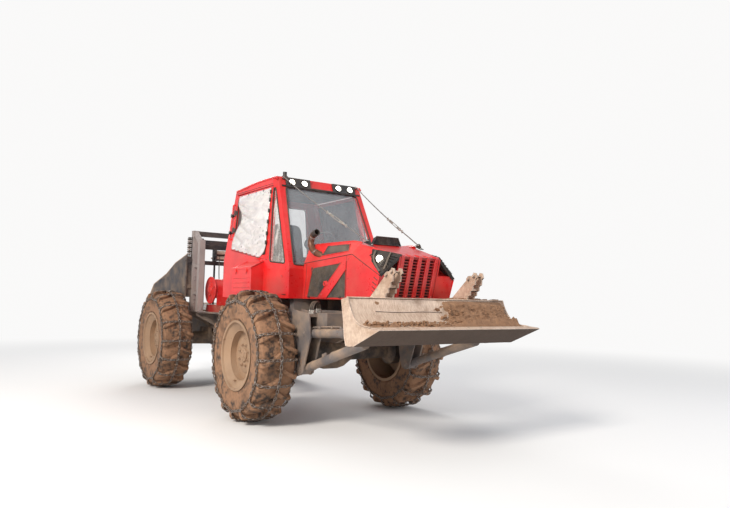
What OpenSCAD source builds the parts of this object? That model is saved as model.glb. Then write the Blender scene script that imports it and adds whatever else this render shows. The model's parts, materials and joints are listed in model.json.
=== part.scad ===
// Articulated forestry cable skidder, at its real size in millimetres.
// X runs forward, Y to the driver's left and Z up; the ground is Z = 0.
// All lengths along X are taken from the front axle, then shifted to the middle of the machine.

/* [Chassis] */
// Distance between the front and rear axles
wheelbase = 3267; // [3200:1:3400]
// Distance between the middle planes of the two wheels on one axle
track_w = 2139; // [2130:1:2200]
// Height of the underside of the frame rails
rail_z0 = 930; // [915:1:945]
// Height of the top of the frame rails
rail_z1 = 1300; // [1285:1:1305]
// Distance from the middle to the outer face of a frame rail
rail_y = 370; // [350:1:380]
// Thickness of the frame plates
rail_t = 40; // [30:1:45]
// Height of the deck plate on the rear frame
deck_z = 1190; // [1180:1:1200]

/* [Articulation] */
// Radius of the articulation pins
pivot_r = 45; // [38:1:50]
// Radius of the rounded end of a yoke plate
yoke_r = 110; // [100:1:115]
// Thickness of each outer yoke plate
yoke_t = 30; // [24:1:34]
// Thickness of the inner yoke plate
tongue_t = 50; // [44:1:56]
// Middle height of the upper articulation joint
yoke_z_top = 1191; // [1185:1:1195]
// Middle height of the lower articulation joint
yoke_z_low = 661; // [655:1:667]
// Space above and below the inner yoke plate
yoke_gap = 6; // [5.5:0.5:8]

/* [Steering cylinders] */
// Height of the steering cylinders
steer_z = 900; // [890:1:905]
// Distance from the pivot forward to the barrel's pin
steer_x = 650; // [630:1:670]
// Distance from the middle to the barrel's pin
steer_y = 200; // [195:1:205]
// Distance from the pivot back to the rod's pin
steer_rod_x = 50; // [45:1:55]
// Distance from the middle to the rod's pin
steer_rod_y = 150; // [145:1:155]
// Outer radius of a steering cylinder
steer_r = 40; // [34:1:44]

/* [Wheels] */
// Radius of the tyre over its lugs
tyre_r = 746; // [740:1:750]
// Width of the tyre
tyre_w = 446; // [436:1:450]
// Height of the lugs
lug_h = 48; // [36:1:52]
// Width of a lug across its top
lug_w = 44; // [34:1:50]
// Number of lugs on each half of the tread
lug_n = 16; // [14:1:18]
// Radius of the rim's flange
rim_r = 405; // [395:1:415]
// Thickness of the chain's strands
chain_t = 14; // [10:1:16]
// Number of cross chains round a wheel
chain_n = 12; // [10:2:16]
// Radius at which the side chains lie
chain_side_r = 622; // [610:1:630]

/* [Axles] */
// Radius of the axle tubes
axle_r = 95; // [85:1:100]
// Radius of the differential housing in the middle of an axle
diff_r = 205; // [190:1:210]
// Radius of the hub drums at the ends of an axle
hub_r = 180; // [160:1:190]

/* [Hood] */
// Half of the hood's width
hood_y = 510; // [500:1:520]
// Thickness of the hood's sheet panels
hood_t = 22; // [14:1:26]
// Half of the width of the front grille
grille_y = 263; // [250:1:275]
// Number of gaps between the grille's bars
grille_n = 4; // [3:1:6]

/* [Cab] */
// Half of the cab's width at its waist
cab_y = 800; // [792:1:805]
// Height of the cab's floor
cab_z0 = 1430; // [1425:1:1435]
// Thickness of the cab's walls
cab_t = 45; // [35:1:50]
// Thickness of the window panes
pane_t = 8; // [5:1:10]
// Space left round a door
door_gap = 6; // [5.5:0.5:8]

/* [Blade] */
// Half of the blade's width
blade_y = 1050; // [1000:1:1100]
// Thickness of the blade's curved plate
blade_t = 30; // [24:1:34]
// Distance from the middle to the push arms
arm_y = 748; // [744:1:750]
// Radius of the push arms' tubes
arm_r = 47; // [40:1:48]
// Outer radius of the blade's lift cylinders
lift_r = 48; // [42:1:50]
// Distance from the middle to the horns on the blade
horn_y = 550; // [540:1:600]

/* [Winch and tower] */
// Radius of the winch drum's flanges
drum_r = 215; // [200:1:225]
// Half of the length of the winch drum
drum_y = 500; // [480:1:510]
// Distance from the middle to the tower's posts
post_y = 650; // [640:1:660]
// Width of a tower post's section
post_w = 90; // [80:1:95]
// Height of the tower
tower_z = 2500; // [2450:1:2550]
// Radius of the rope rollers
roller_r = 45; // [38:1:50]

/* [Rear shield] */
// Distance from the front axle back to the rear end of the shield
shield_x = 4800; // [4780:1:4820]
// Thickness of the shield's plates
shield_t = 20; // [16:1:24]
// Radius of the towing hole at the rear
tow_r = 21; // [18:0.5:24]

/* [Hidden] */
$fn = 48;

// Space between faces that seat on each other
seat = 0.3;
// Running clearance of a pin in its bore
pin_fit = 0.5;
// A length that is longer than anything it cuts
reach = 6000;

// Wheels stand on their chains
wheel_r = norm([tyre_r + seat + chain_t, chain_t / 2]);
axle_z = wheel_r;
pivot_x = -wheelbase / 2;

// Front tip of the blade and the shift that puts the origin under the middle of the machine
blade_tip_x = 2465;
shift_x = (shield_x - blade_tip_x) / 2;

// A point (x, z) of a side view, an outline of such points and its plate between two Y values
module plate_xz(points, y0, y1) {
    translate([0, y1, 0]) rotate([90, 0, 0]) linear_extrude(y1 - y0) polygon(points);
}

// The same for an outline of points (y, z) between two X values
module plate_yz(points, x0, x1) {
    translate([x0, 0, 0]) rotate([90, 0, 90]) linear_extrude(x1 - x0) polygon(points);
}

// A block between two opposite corners
module block(low, high) {
    translate(low) cube(high - low);
}

// A round bar from one point to another
module bar(a, b, r) {
    d = b - a;
    translate(a) rotate([0, acos(d[2] / norm(d)), atan2(d[1], d[0])]) cylinder(h = norm(d), r = r);
}

// A round bar along Y
module bar_y(x, z, y0, y1, r) {
    translate([x, y0, z]) rotate([-90, 0, 0]) cylinder(h = y1 - y0, r = r);
}

function unit(v) = v / norm(v);

// A round tube that follows a route of points, with one radius for each point
// The side vector must not lie along the route

module tube_along(route, radii, side_vector, sides = 8) {
    n = len(route);
    rings = [for (i = [0 : n - 1]) let (
        t = unit(route[min(i + 1, n - 1)] - route[max(i - 1, 0)]),
        u = unit(cross(t, side_vector)),
        v = cross(t, u)
    ) [for (k = [0 : sides - 1]) route[i] + radii[i] * (cos(k * 360 / sides) * u + sin(k * 360 / sides) * v)]];
    walls = [for (i = [0 : n - 2]) for (k = [0 : sides - 1]) let (
        a = i * sides + k,
        b = i * sides + (k + 1) % sides
    ) each [[a, b + sides, b], [a, a + sides, b + sides]]];
    first = [for (k = [0 : sides - 1]) k];
    last = [for (k = [sides - 1 : -1 : 0]) (n - 1) * sides + k];
    polyhedron([for (ring = rings) each ring], concat(walls, [first, last]), convexity = 6);
}

module both_sides() {
    children();
    mirror([0, 1, 0]) children();
}

module on_side(side) {
    if (side > 0) children();
    else mirror([0, 1, 0]) children();
}

module from_front_axle() {
    translate([shift_x, 0, 0]) children();
}

// Everything beyond the plane through three points, on the side that their normal points to
function plane_normal(a, b, c) = let (n = cross(b - a, c - a)) n / norm(n);

module beyond(a, b, c, inset = 0) {
    n = plane_normal(a, b, c);
    translate(a - inset * n) rotate([0, -asin(n[2]), atan2(n[1], n[0])])
        translate([0, -reach / 2, -reach / 2]) cube(reach);
}

// Wheels

rim_seat_r = rim_r - 20;
rim_half = tyre_w / 2 - 18;
rim_back_w = 48;
tread_r = tyre_r - lug_h;

// Half sections of revolved pieces list points (radius, distance from the wheel's middle plane)
function mirrored(half) = concat(half, [for (i = [len(half) - 1 : -1 : 0]) [half[i][0], -half[i][1]]]);

module revolved_y(points) {
    rotate([-90, 0, 0]) rotate_extrude() polygon(points);
}

module at_wheel(end, side) {
    from_front_axle() translate([end > 0 ? 0 : -wheelbase, side * track_w / 2, axle_z])
        on_side(side) children();
}

module tyre_lugs() {
    w = tyre_w / 2;
    bend = [22, w * 0.45];
    root = [-62, -12];
    tip = [62, w];
    half = lug_w / 2;
    top = sqrt(tyre_r * tyre_r - pow(tip[0] + half, 2));
    bottom = tread_r - 60;
    outline = [
        root - [half, 0], bend - [half, 0], tip - [half, 0],
        tip + [half, 0], bend + [half, 0], root + [half, 0]
    ];
    for (i = [0 : lug_n - 1]) {
        rotate([0, i * 360 / lug_n, 0]) translate([0, 0, bottom])
            linear_extrude(top - bottom) polygon(outline);
        rotate([0, (i + 0.5) * 360 / lug_n, 0]) translate([0, 0, bottom])
            mirror([0, 1, 0]) linear_extrude(top - bottom) polygon(outline);
    }
}

module tyre(end, side) {
    w = tyre_w / 2;
    outer = [
        [rim_seat_r + seat, rim_half - 1], [rim_r + 2, rim_half - 1], [rim_r + 30, w - 12], [rim_r + 120, w],
        [tread_r - 48, w], [tread_r - 10, w - 25], [tread_r, w - 90]
    ];
    inner = [
        [rim_seat_r - 5, rim_half - 26], [rim_r + 30, w - 36], [rim_r + 120, w - 26],
        [tread_r - 52, w - 30], [tread_r - 28, w - 70]
    ];
    color("dimgray") at_wheel(end, side) difference() {
        union() {
            revolved_y(mirrored(outer));
            tyre_lugs();
        }
        revolved_y(mirrored(inner));
    }
}

module rim(end, side) {
    dish_r = rim_r - 120;
    face = rim_half + 12;
    outer_face = [
        [0, 97], [150, 97], [195, 85], [195, 70], [dish_r, 70], [dish_r, 140],
        [rim_seat_r - 13, rim_half - 10], [rim_seat_r - 7, face], [rim_r, face], [rim_r, rim_half],
        [rim_seat_r, rim_half]
    ];
    inner_face = [
        [rim_seat_r, -rim_half], [rim_r, -rim_half], [rim_r, -face], [rim_seat_r - 15, -face],
        [rim_seat_r - 15, 172], [dish_r + 15, 128], [dish_r + 15, rim_back_w], [0, rim_back_w]
    ];
    color("tan") at_wheel(end, side) revolved_y(concat(outer_face, inner_face));
}

module chain(end, side) {
    w = tyre_w / 2 + seat;
    step = 360 / chain_n;
    low = tyre_r + seat;
    side_len = 2 * (chain_side_r + chain_t / 2) * tan(step / 2);
    color("slategray") at_wheel(end, side) {
        revolved_y([
            [low, -chain_t / 2], [low + chain_t, -chain_t / 2],
            [low + chain_t, chain_t / 2], [low, chain_t / 2]
        ]);
        for (i = [0 : chain_n - 1]) rotate([0, i * step, 0]) {
            block([-chain_t / 2, -w - chain_t, low], [chain_t / 2, w + chain_t, low + chain_t]);
            both_sides() {
                block([-chain_t / 2, w, chain_side_r], [chain_t / 2, w + chain_t, low + chain_t]);
                rotate([0, step / 2, 0])
                    block([-side_len / 2, w, chain_side_r - chain_t / 2],
                          [side_len / 2, w + chain_t, chain_side_r + chain_t / 2]);
            }
        }
    }
}

// Axles, with a round differential housing, tapered tubes and a hub drum at each end

pad_y0 = rail_y - rail_t - 10;

module axle(x) {
    end_y = track_w / 2 + rim_back_w - seat;
    half = [
        [0, end_y], [hub_r - 40, end_y], [hub_r - 40, end_y - 40], [hub_r, end_y - 60],
        [hub_r, end_y - 190], [hub_r - 50, end_y - 215], [axle_r, end_y - 250],
        [axle_r + 12, 300], [diff_r - 20, 170], [diff_r, 90]
    ];
    from_front_axle() translate([x, 0, axle_z]) {
        revolved_y(mirrored(half));
        both_sides() block([-110, pad_y0, 0], [110, rail_y + 10, rail_z0 - axle_z]);
    }
}

module front_axle() {
    color("gray") axle(0);
}

module rear_axle() {
    color("gray") axle(-wheelbase);
}

// Articulation: on each joint two outer plates of the front frame hold one tongue of the rear frame

yoke_root = 320;
yoke_half = 130;
stack_half = tongue_t / 2 + yoke_gap + yoke_t;
cross_front_x = pivot_x + yoke_root;
cross_rear_x = pivot_x - yoke_root;
cross_z0 = yoke_z_low - stack_half - 30;

// A plate that points from the pivot to its root, with a round end and a bore
module yoke_plate(z0, z1, root, bore_r) {
    translate([pivot_x, 0, z0]) linear_extrude(z1 - z0) difference() {
        union() {
            circle(r = yoke_r);
            polygon([[0, -yoke_r], [root, -yoke_half], [root, yoke_half], [0, yoke_r]]);
        }
        circle(r = bore_r);
    }
}

module articulation_pins() {
    color("silver") from_front_axle() for (z = [yoke_z_low, yoke_z_top]) translate([pivot_x, 0, 0]) {
        translate([0, 0, z - stack_half - 10]) cylinder(h = 2 * stack_half + 10, r = pivot_r);
        translate([0, 0, z + stack_half]) cylinder(h = 12, r = pivot_r + 18);
    }
}

// Steering cylinders: the barrel turns on the front frame and the rod reaches the rear frame

steer_len = norm([steer_x + steer_rod_x, steer_y - steer_rod_y]);
steer_turn = atan2(steer_rod_y - steer_y, -steer_x - steer_rod_x);
steer_barrel_len = 540;
steer_rod_len = 350;
steer_rod_r = steer_r / 2;
steer_eye_h = 50;
steer_eye_r = steer_r + 2;
steer_pin_r = 15;
steer_fork_t = 16;

// Along the cylinder's own axis: X from the barrel's pin to the rod's pin
module along_steer(side) {
    from_front_axle() on_side(side) translate([pivot_x + steer_x, steer_y, steer_z])
        rotate([0, 0, steer_turn]) children();
}

module steer_barrel(side) {
    hole = steer_rod_len - 10;
    pin_h = steer_eye_h / 2 + steer_fork_t + 8;
    color("dimgray") along_steer(side) difference() {
        union() {
            translate([0, 0, -steer_eye_h / 2]) cylinder(h = steer_eye_h, r = steer_eye_r);
            translate([0, 0, -pin_h]) cylinder(h = 2 * pin_h, r = steer_pin_r);
            rotate([0, 90, 0]) cylinder(h = steer_barrel_len, r = steer_eye_h / 2);
            translate([steer_eye_r + 8, 0, 0]) rotate([0, 90, 0])
                cylinder(h = steer_barrel_len - steer_eye_r - 8, r = steer_r);
        }
        translate([steer_barrel_len - hole, 0, 0]) rotate([0, 90, 0])
            cylinder(h = hole + 1, r = steer_rod_r + pin_fit);
    }
}

module steer_rod(side) {
    eye_r = steer_rod_r + 16;
    color("silver") along_steer(side) translate([steer_len, 0, 0]) {
        translate([-steer_rod_len, 0, 0]) rotate([0, 90, 0])
            cylinder(h = steer_rod_len - steer_rod_r, r = steer_rod_r);
        difference() {
            translate([0, 0, -steer_eye_h / 2]) cylinder(h = steer_eye_h, r = eye_r);
            translate([0, 0, -steer_eye_h]) cylinder(h = 2 * steer_eye_h, r = steer_pin_r);
        }
    }
}

// Two ear plates that hold the rod's eye between them, with an open pivot
module steer_rod_ears() {
    ear_r = 40;
    clear = steer_eye_h / 2 + 6;
    for (z = [steer_z + clear, steer_z - clear - steer_fork_t])
        translate([pivot_x, 0, z]) linear_extrude(steer_fork_t) difference() {
            union() {
                translate([-steer_rod_x, steer_rod_y]) circle(r = ear_r);
                polygon([
                    [-steer_rod_x, steer_rod_y - ear_r], [-steer_rod_x, steer_rod_y + ear_r],
                    [-yoke_root, steer_rod_y + 2 * ear_r], [-yoke_root, steer_rod_y - 2 * ear_r]
                ]);
            }
            translate([-steer_rod_x, steer_rod_y]) circle(r = steer_pin_r);
        }
}

// Fork plates on the front frame for the barrel's pin
module steer_barrel_fork() {
    x = pivot_x + steer_x;
    clear = steer_eye_h / 2 + seat;
    beam_x = x + steer_eye_r + 12;
    for (z = [steer_z + clear, steer_z - clear - steer_fork_t])
        translate([x, steer_y, z]) linear_extrude(steer_fork_t) difference() {
            union() {
                circle(r = steer_eye_r);
                translate([0, -steer_eye_r]) square([beam_x - x, 2 * steer_eye_r]);
            }
            circle(r = steer_pin_r + pin_fit);
        }
}

// Front frame

fork_clear = 55.5;
cheek_t = 16;
arm_pin = [694, 652];
lift_pin = [771, 1048];
arm_pin_r = 25;
lift_pin_r = 22;
beam_y = 620;
cab_x0 = -1600;
cab_x1 = 180;
nose_x = 1560;
hood_z0 = cab_z0;
rail_end_x = cross_front_x + rail_t + seat;

module side_cheek() {
    outline = [[470, 1310], [867, 1265], [905, 1010], [760, 610], [630, 600], [590, 700]];
    outer_y = arm_y + fork_clear;
    for (y = [arm_y - fork_clear - cheek_t, outer_y])
        translate([0, y + cheek_t, 0]) rotate([90, 0, 0]) linear_extrude(cheek_t) difference() {
            union() {
                polygon(outline);
                translate(arm_pin) circle(r = 66);
                translate(lift_pin) circle(r = 80);
            }
            translate(arm_pin) circle(r = arm_pin_r + pin_fit);
            translate(lift_pin) circle(r = lift_pin_r + pin_fit);
        }
}

module front_rail() {
    outline = [
        [rail_end_x, rail_z0], [700, rail_z0], [1040, rail_z0 + 100], [1060, 1190],
        [nose_x, 1270], [nose_x, hood_z0 - 40], [1200, hood_z0 - 60], [1040, rail_z1],
        [rail_end_x, rail_z1]
    ];
    plate_xz(outline, rail_y - rail_t, rail_y);
}

// Cross plate behind the rails, with a window for each steering cylinder and the yoke plates
module front_yoke() {
    window_y = steer_y - (steer_y - steer_rod_y) * (steer_x - yoke_root) / (steer_x + steer_rod_x);
    half_w = 78;
    half_h = steer_r + 16;
    color("gray") from_front_axle() {
        difference() {
            block([cross_front_x, -rail_y, cross_z0], [cross_front_x + rail_t, rail_y, rail_z1]);
            both_sides() block([cross_front_x - 1, window_y - half_w, steer_z - half_h],
                               [cross_front_x + rail_t + 1, window_y + half_w, steer_z + half_h]);
        }
        for (z = [yoke_z_low, yoke_z_top]) {
            yoke_plate(z - stack_half, z - stack_half + yoke_t, yoke_root, pivot_r + seat);
            yoke_plate(z + stack_half - yoke_t, z + stack_half, yoke_root, pivot_r + seat);
        }
    }
}

module front_frame() {
    fork_x = pivot_x + steer_x + steer_eye_r + 12;
    inner_y = rail_y - rail_t;
    pan_t = 12;
    color("gray") from_front_axle() {
        both_sides() {
            front_rail();
            side_cheek();
            steer_barrel_fork();
            // Side box that carries the cheeks
            block([650, inner_y, 1120], [1040, arm_y - fork_clear, 1275]);
            block([480, arm_y - fork_clear - cheek_t, 1230], [840, arm_y + fork_clear + 1, 1262]);
        }
        // Cross members: steering beam, belly pans, cab beams and nose beam
        block([fork_x, -rail_y, steer_z - 60], [fork_x + 50, rail_y, steer_z + 110]);
        block([fork_x, -inner_y, rail_z0], [-250, inner_y, rail_z0 + pan_t]);
        block([250, -inner_y, rail_z0], [1000, inner_y, rail_z0 + pan_t]);
        for (x = [-1220, 60]) block([x, -beam_y, rail_z1 - 20], [x + 90, beam_y, cab_z0]);
        block([nose_x - 60, -hood_y, hood_z0 - 42], [nose_x, hood_y, hood_z0]);
    }
}

module engine_block() {
    color("dimgray") from_front_axle()
        block([330, -250, rail_z0 + 12], [1300, 250, 1780]);
}

// Hood: a sheet shell with flat facets, open below and at the cab

hood_x0 = cab_x1 + seat;
// Points (x, z) of the hood's top line, from the cab forward and down the nose
hood_line = [[hood_x0, 2082], [1247, 2056], [1604, 1940], [1765, 1900], [1650, hood_z0]];
// Height of the shoulder under the top's edge, at the back and at its peak
shoulder_z0 = 1857;
shoulder_z1 = 1922;
shoulder_x = 1214;
shoulder_y = 370;
nose_low = [1733, 1674];

module hood_solid(inset) {
    edge = hood_y - inset;
    difference() {
        block([hood_x0 - (inset > 0 ? 1 : 0), -edge, hood_z0 - (inset > 0 ? 1 : 0)], [1800, edge, 2100]);
        for (i = [0 : len(hood_line) - 2]) {
            a = [hood_line[i][0], 0, hood_line[i][1]];
            b = [hood_line[i + 1][0], 0, hood_line[i + 1][1]];
            beyond(a, b, a + [0, 100, 0], inset);
        }
        both_sides() {
            peak = [shoulder_x, hood_y, shoulder_z1];
            beyond([hood_x0, hood_y, shoulder_z0], [shoulder_x, shoulder_y, 2057], peak, inset);
            beyond(peak, [1750, grille_y, 1900], [nose_low[0], hood_y, nose_low[1]], inset);
        }
    }
}

// Openings in a hood side, each as points (x, z); the first two are parted by the slanting brace
side_mesh_rear = [[288, 1475], [400, 1782], [600, 1800], [480, 1475]];
side_mesh_front = [[560, 1475], [690, 1808], [1045, 1842], [1103, 1475]];
top_mesh = [[640, 1925], [723, 2010], [1175, 2020], [1139, 1945]];

// Headlight corner, behind and above the line of the housing's lower edge
lamp_outline = [[1600, 1783], [1600, 2000], [1900, 2000], [1900, 1573], [1754, 1669]];

// Louvre slots low on the hood's side near the nose
module louvres() {
    for (i = [0 : 4]) translate([1330 + i * 52, hood_y - 60, 1520])
        rotate([0, -22, 0]) cube([20, 90, 130]);
}

module grille_opening(margin) {
    low = hood_line[4];
    high = hood_line[3];
    block([1500, -grille_y - margin, low[1] + 30 - margin], [1900, grille_y + margin, high[1] - 12 + margin]);
}

module hood_shell() {
    color("red") from_front_axle() difference() {
        hood_solid(0);
        hood_solid(hood_t);
        both_sides() {
            for (outline = [side_mesh_rear, side_mesh_front, top_mesh])
                plate_xz(outline, shoulder_y - 40, hood_y + 10);
            plate_xz(lamp_outline, grille_y + 18, hood_y + 10);
            louvres();
        }
        grille_opening(seat);
        mirror([0, 1, 0]) bar(exhaust_route[0], exhaust_route[1], exhaust_r + seat);
    }
}

// Slatted screens that fill the openings of the hood
module screen(outline, pitch) {
    low = min([for (p = outline) p[1]]);
    high = max([for (p = outline) p[1]]);
    left = min([for (p = outline) p[0]]);
    right = max([for (p = outline) p[0]]);
    intersection() {
        hood_solid(3);
        difference() {
            plate_xz(outline, shoulder_y - 40, hood_y + 10);
            hood_solid(hood_t - 1);
            difference() {
                for (z = [low + 20 : pitch : high - 10])
                    block([left, 0, z], [right, hood_y + 10, z + pitch * 0.45]);
                hood_solid(12);
            }
        }
    }
}

module hood_screens() {
    color("black") from_front_axle() {
        both_sides() {
            for (outline = [side_mesh_rear, side_mesh_front]) screen(outline, 36);
            screen(top_mesh, 24);
        }
        // Air intake box on the ridge
        difference() {
            plate_xz([[930, 2064.1], [1000, 2130], [1172, 2140], [1172, 2058.3]], -180, 180);
            block([1150, -165, 2070], [1180, 165, 2128]);
        }
        for (i = [0 : 4]) block([1149, -165, 2076 + i * 11], [1166, 165, 2080 + i * 11]);
    }
}

// Front grille: dark slats behind upright bars, in the plane of the nose
module front_grille() {
    step = 2 * (grille_y - 12) / grille_n;
    color("darkred") from_front_axle() {
        intersection() {
            hood_solid(2);
            grille_opening(0);
            union() {
                difference() {
                    grille_opening(0);
                    grille_opening(-24);
                    hood_solid(40);
                }
                difference() {
                    for (i = [1 : grille_n - 1]) translate([1500, -grille_y + 12 + i * step - 14, hood_z0])
                        cube([300, 28, 460]);
                    hood_solid(34);
                }
                difference() {
                    for (z = [hood_z0 + 60 : 42 : 1880])
                        block([1500, -grille_y + 10, z], [1800, grille_y - 10, z + 16]);
                    hood_solid(34);
                    difference() {
                        block([1400, -400, 1400], [1900, 400, 2000]);
                        hood_solid(22);
                    }
                }
            }
        }
    }
}

module headlights() {
    lens = [[1655, 372, 1815], [1800, 455, 1850]];
    color("black") from_front_axle() both_sides() difference() {
        intersection() {
            hood_solid(4);
            plate_xz([for (p = lamp_outline) p + [1, 1]], grille_y + 18 + seat, hood_y - hood_t - seat);
        }
        bar(lens[0] + [40, 22, 9], lens[1], 62);
    }
    color("white") from_front_axle() both_sides() bar(lens[0] + [20, 11, 5], lens[0] + [58, 33, 14], 52);
}

// Exhaust pipe that rises out of the hood's shoulder and curves back and up
exhaust_r = 38;
exhaust_route = [
    [520, 462, 1860], [520, 462, 1960], [512, 464, 2010], [488, 466, 2056], [450, 466, 2094],
    [410, 462, 2124], [368, 456, 2150]
];

module exhaust_pipe() {
    last = exhaust_route[len(exhaust_route) - 1];
    before = exhaust_route[len(exhaust_route) - 2];
    color("saddlebrown") from_front_axle() mirror([0, 1, 0]) difference() {
        tube_along(exhaust_route, [for (p = exhaust_route) exhaust_r], [0, 1, 0], 16);
        bar(before, last + (last - before), exhaust_r - 8);
    }
}

// Cab: flat facets that lean inward, hollow, with its doors and windows cut out

cab_top_z = 2994;
cab_z1 = cab_top_z - 89;
sill_z = 1790;
waist_z = 1950;
roof_front_x = -347;
// The roof slopes down to this height at its rear
roof_rear_z = cab_top_z - 49;
// Half of the cab's width at the top of its roof
roof_y = cab_y - 160;
// Half of the cab's width at its front, where the corner facets begin
front_y = cab_y - 90;
corner_x = -257;

module cab_solid(inset, z0, z1) {
    low_front = [cab_x1, front_y, sill_z];
    low_side = [corner_x, cab_y, sill_z];
    difference() {
        block([cab_x0 + inset, inset - cab_y, z0], [cab_x1 - inset, cab_y - inset, z1]);
        beyond([cab_x1, 0, sill_z], [cab_x1, 100, sill_z], [roof_front_x, 0, cab_top_z], inset);
        both_sides() {
            beyond([0, cab_y, waist_z], [0, roof_y, cab_top_z], [100, cab_y, waist_z], inset);
            beyond(low_front, low_side, [-440, roof_y, cab_top_z], inset);
            beyond([cab_x1, front_y, cab_z0], [corner_x, cab_y, cab_z0], low_front, inset);
        }
    }
}

// Outlines as points (x, z)
door_outline = [[-262, 1905], [-1405, 2088], [-1530, cab_z1 - 25], [-425, cab_z1 - 25]];
door_pane_outline = [[-325, 1972], [-1345, 2135], [-1455, cab_z1 - 83], [-458, cab_z1 - 83]];
corner_glass_outline = [[88, 1850], [-215, 1880], [-398, cab_z1 - 65], [-352, cab_z1 - 65]];
// Which way each corner of these outlines moves as the outline grows
outward = [[1, -1], [-1, -1], [-1, 1], [1, 1]];
// The doors' hinge line, on the outside of the cab just behind the door's rear edge
function side_y(z) = cab_y - (cab_y - roof_y) * (z - waist_z) / (cab_top_z - waist_z);
hinge_low = [door_outline[1][0] - 10, side_y(2096), 2096];
hinge_high = [door_outline[2][0] - 10, side_y(cab_z1 - 19), cab_z1 - 19];
knuckle_r = 15;
knuckle_h = 80;
// How far the door ends below its opening's top, because the leaning hinge lifts its rear corner
door_drop = 10;
// Half of the windshield's width at its foot and at its head
shield_low_y = 640;
shield_high_y = 545;
shield_z1 = cab_z1 - 45;
rear_window = [[560, 2060], [-560, 2060], [-500, cab_z1 - 105], [500, cab_z1 - 105]];

// A prism across the cab's side through an outline
module through_side(outline) {
    plate_xz(outline, 480, cab_y + 60);
}

function grown(outline, by) = [for (i = [0 : 3]) outline[i] + by * outward[i]];

module windshield_prism(margin) {
    plate_yz([
        [-shield_low_y - margin, 1835 - margin], [shield_low_y + margin, 1835 - margin],
        [shield_high_y + margin, shield_z1 + margin], [-shield_high_y - margin, shield_z1 + margin]
    ], -340, 300);
}

// The hinges' knuckles, at two places along the hinge line; the cab has a hollow round each
module hinge_knuckles(margin) {
    way = unit(hinge_high - hinge_low);
    for (t = [0.29, 0.61]) {
        foot = hinge_low + t * (hinge_high - hinge_low);
        bar(foot - margin * way, foot + (knuckle_h + margin) * way, knuckle_r + margin);
    }
}

module cab_shell() {
    color("red") from_front_axle() difference() {
        cab_solid(0, cab_z0, cab_z1);
        cab_solid(cab_t, cab_z0 + cab_t, cab_z1 + 1);
        both_sides() {
            through_side(grown(door_outline, door_gap));
            corner_glass_prism(0);
            hinge_knuckles(seat);
        }
        windshield_prism(0);
        plate_yz(rear_window, cab_x0 - 10, cab_x0 + 200);
    }
}

module corner_glass_prism(margin) {
    plate_xz(grown(corner_glass_outline, margin), 560, cab_y + 60);
}

module cab_roof() {
    color("red") from_front_axle() difference() {
        cab_solid(0, cab_z1, cab_top_z);
        beyond([cab_x0, 0, roof_rear_z], [-900, 0, cab_top_z + 1], [cab_x0, 100, roof_rear_z]);
        cab_solid(cab_t, cab_z1 - 1, cab_z1 + 40);
    }
}

// Panes set in the middle of the walls' thickness
module cab_windows() {
    depth = cab_t * 0.4;
    color("lightblue") from_front_axle() {
        difference() {
            union() {
                intersection() {
                    cab_solid(depth, cab_z0, cab_z1);
                    union() {
                        windshield_prism(-seat);
                        both_sides() corner_glass_prism(-seat);
                    }
                }
                plate_yz(grown(rear_window, -seat), cab_x0 + depth, cab_x0 + depth + pane_t);
            }
            cab_solid(depth + pane_t, cab_z0, cab_z1);
        }
    }
}

module door(side) {
    color("red") from_front_axle() on_side(side) {
        difference() {
            intersection() {
                cab_solid(0, cab_z0, cab_z1 - 25 - door_drop);
                through_side(door_outline);
            }
            cab_solid(cab_t, cab_z0, cab_z1);
            through_side(door_pane_outline);
        }
        hinge_knuckles(0);
    }
}

module door_pane(side) {
    depth = cab_t * 0.4;
    color("white") from_front_axle() on_side(side) difference() {
        intersection() {
            cab_solid(depth, cab_z0, cab_z1);
            through_side(grown(door_pane_outline, -seat));
        }
        cab_solid(depth + pane_t, cab_z0, cab_z1);
    }
}

// Driver's seat on its pedestal
seat_x = -950;
seat_z = cab_z0 + cab_t;

module driver_seat() {
    color("dimgray") from_front_axle() translate([seat_x, 0, seat_z]) {
        block([-160, -170, 0], [190, 170, 330]);
        block([-230, -250, 330], [270, 250, 450]);
        translate([-190, 0, 430]) rotate([0, -12, 0]) block([-60, -240, 0], [60, 240, 620]);
        both_sides() block([-170, 258, 560], [160, 320, 610]);
        both_sides() block([-120, 240, 420], [-60, 290, 570]);
    }
}

// Dashboard console with the steering column and wheel
wheel_centre = [-330, 0, 2195];
wheel_ring_r = 190;

module driver_controls() {
    foot = [-60, 0, 1760];
    axis = wheel_centre - foot;
    lean = acos(axis[2] / norm(axis));
    color("dimgray") from_front_axle() {
        plate_xz([[-120, seat_z], [120, seat_z], [120, 1760], [60, 1830], [-120, 1800]], -330, 330);
        bar(foot, wheel_centre - [0, 0, 8], 36);
        translate(wheel_centre) rotate([0, -lean, 0]) {
            rotate_extrude() translate([wheel_ring_r - 14, -12]) square([28, 24]);
            for (a = [0 : 120 : 240]) rotate([0, 0, a]) block([0, -18, -8], [wheel_ring_r, 18, 6]);
            translate([0, 0, -30]) cylinder(h = 44, r = 45);
        }
        // Side consoles
        both_sides() block([-1350, 380, seat_z], [-700, 560, 2000]);
    }
}

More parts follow.
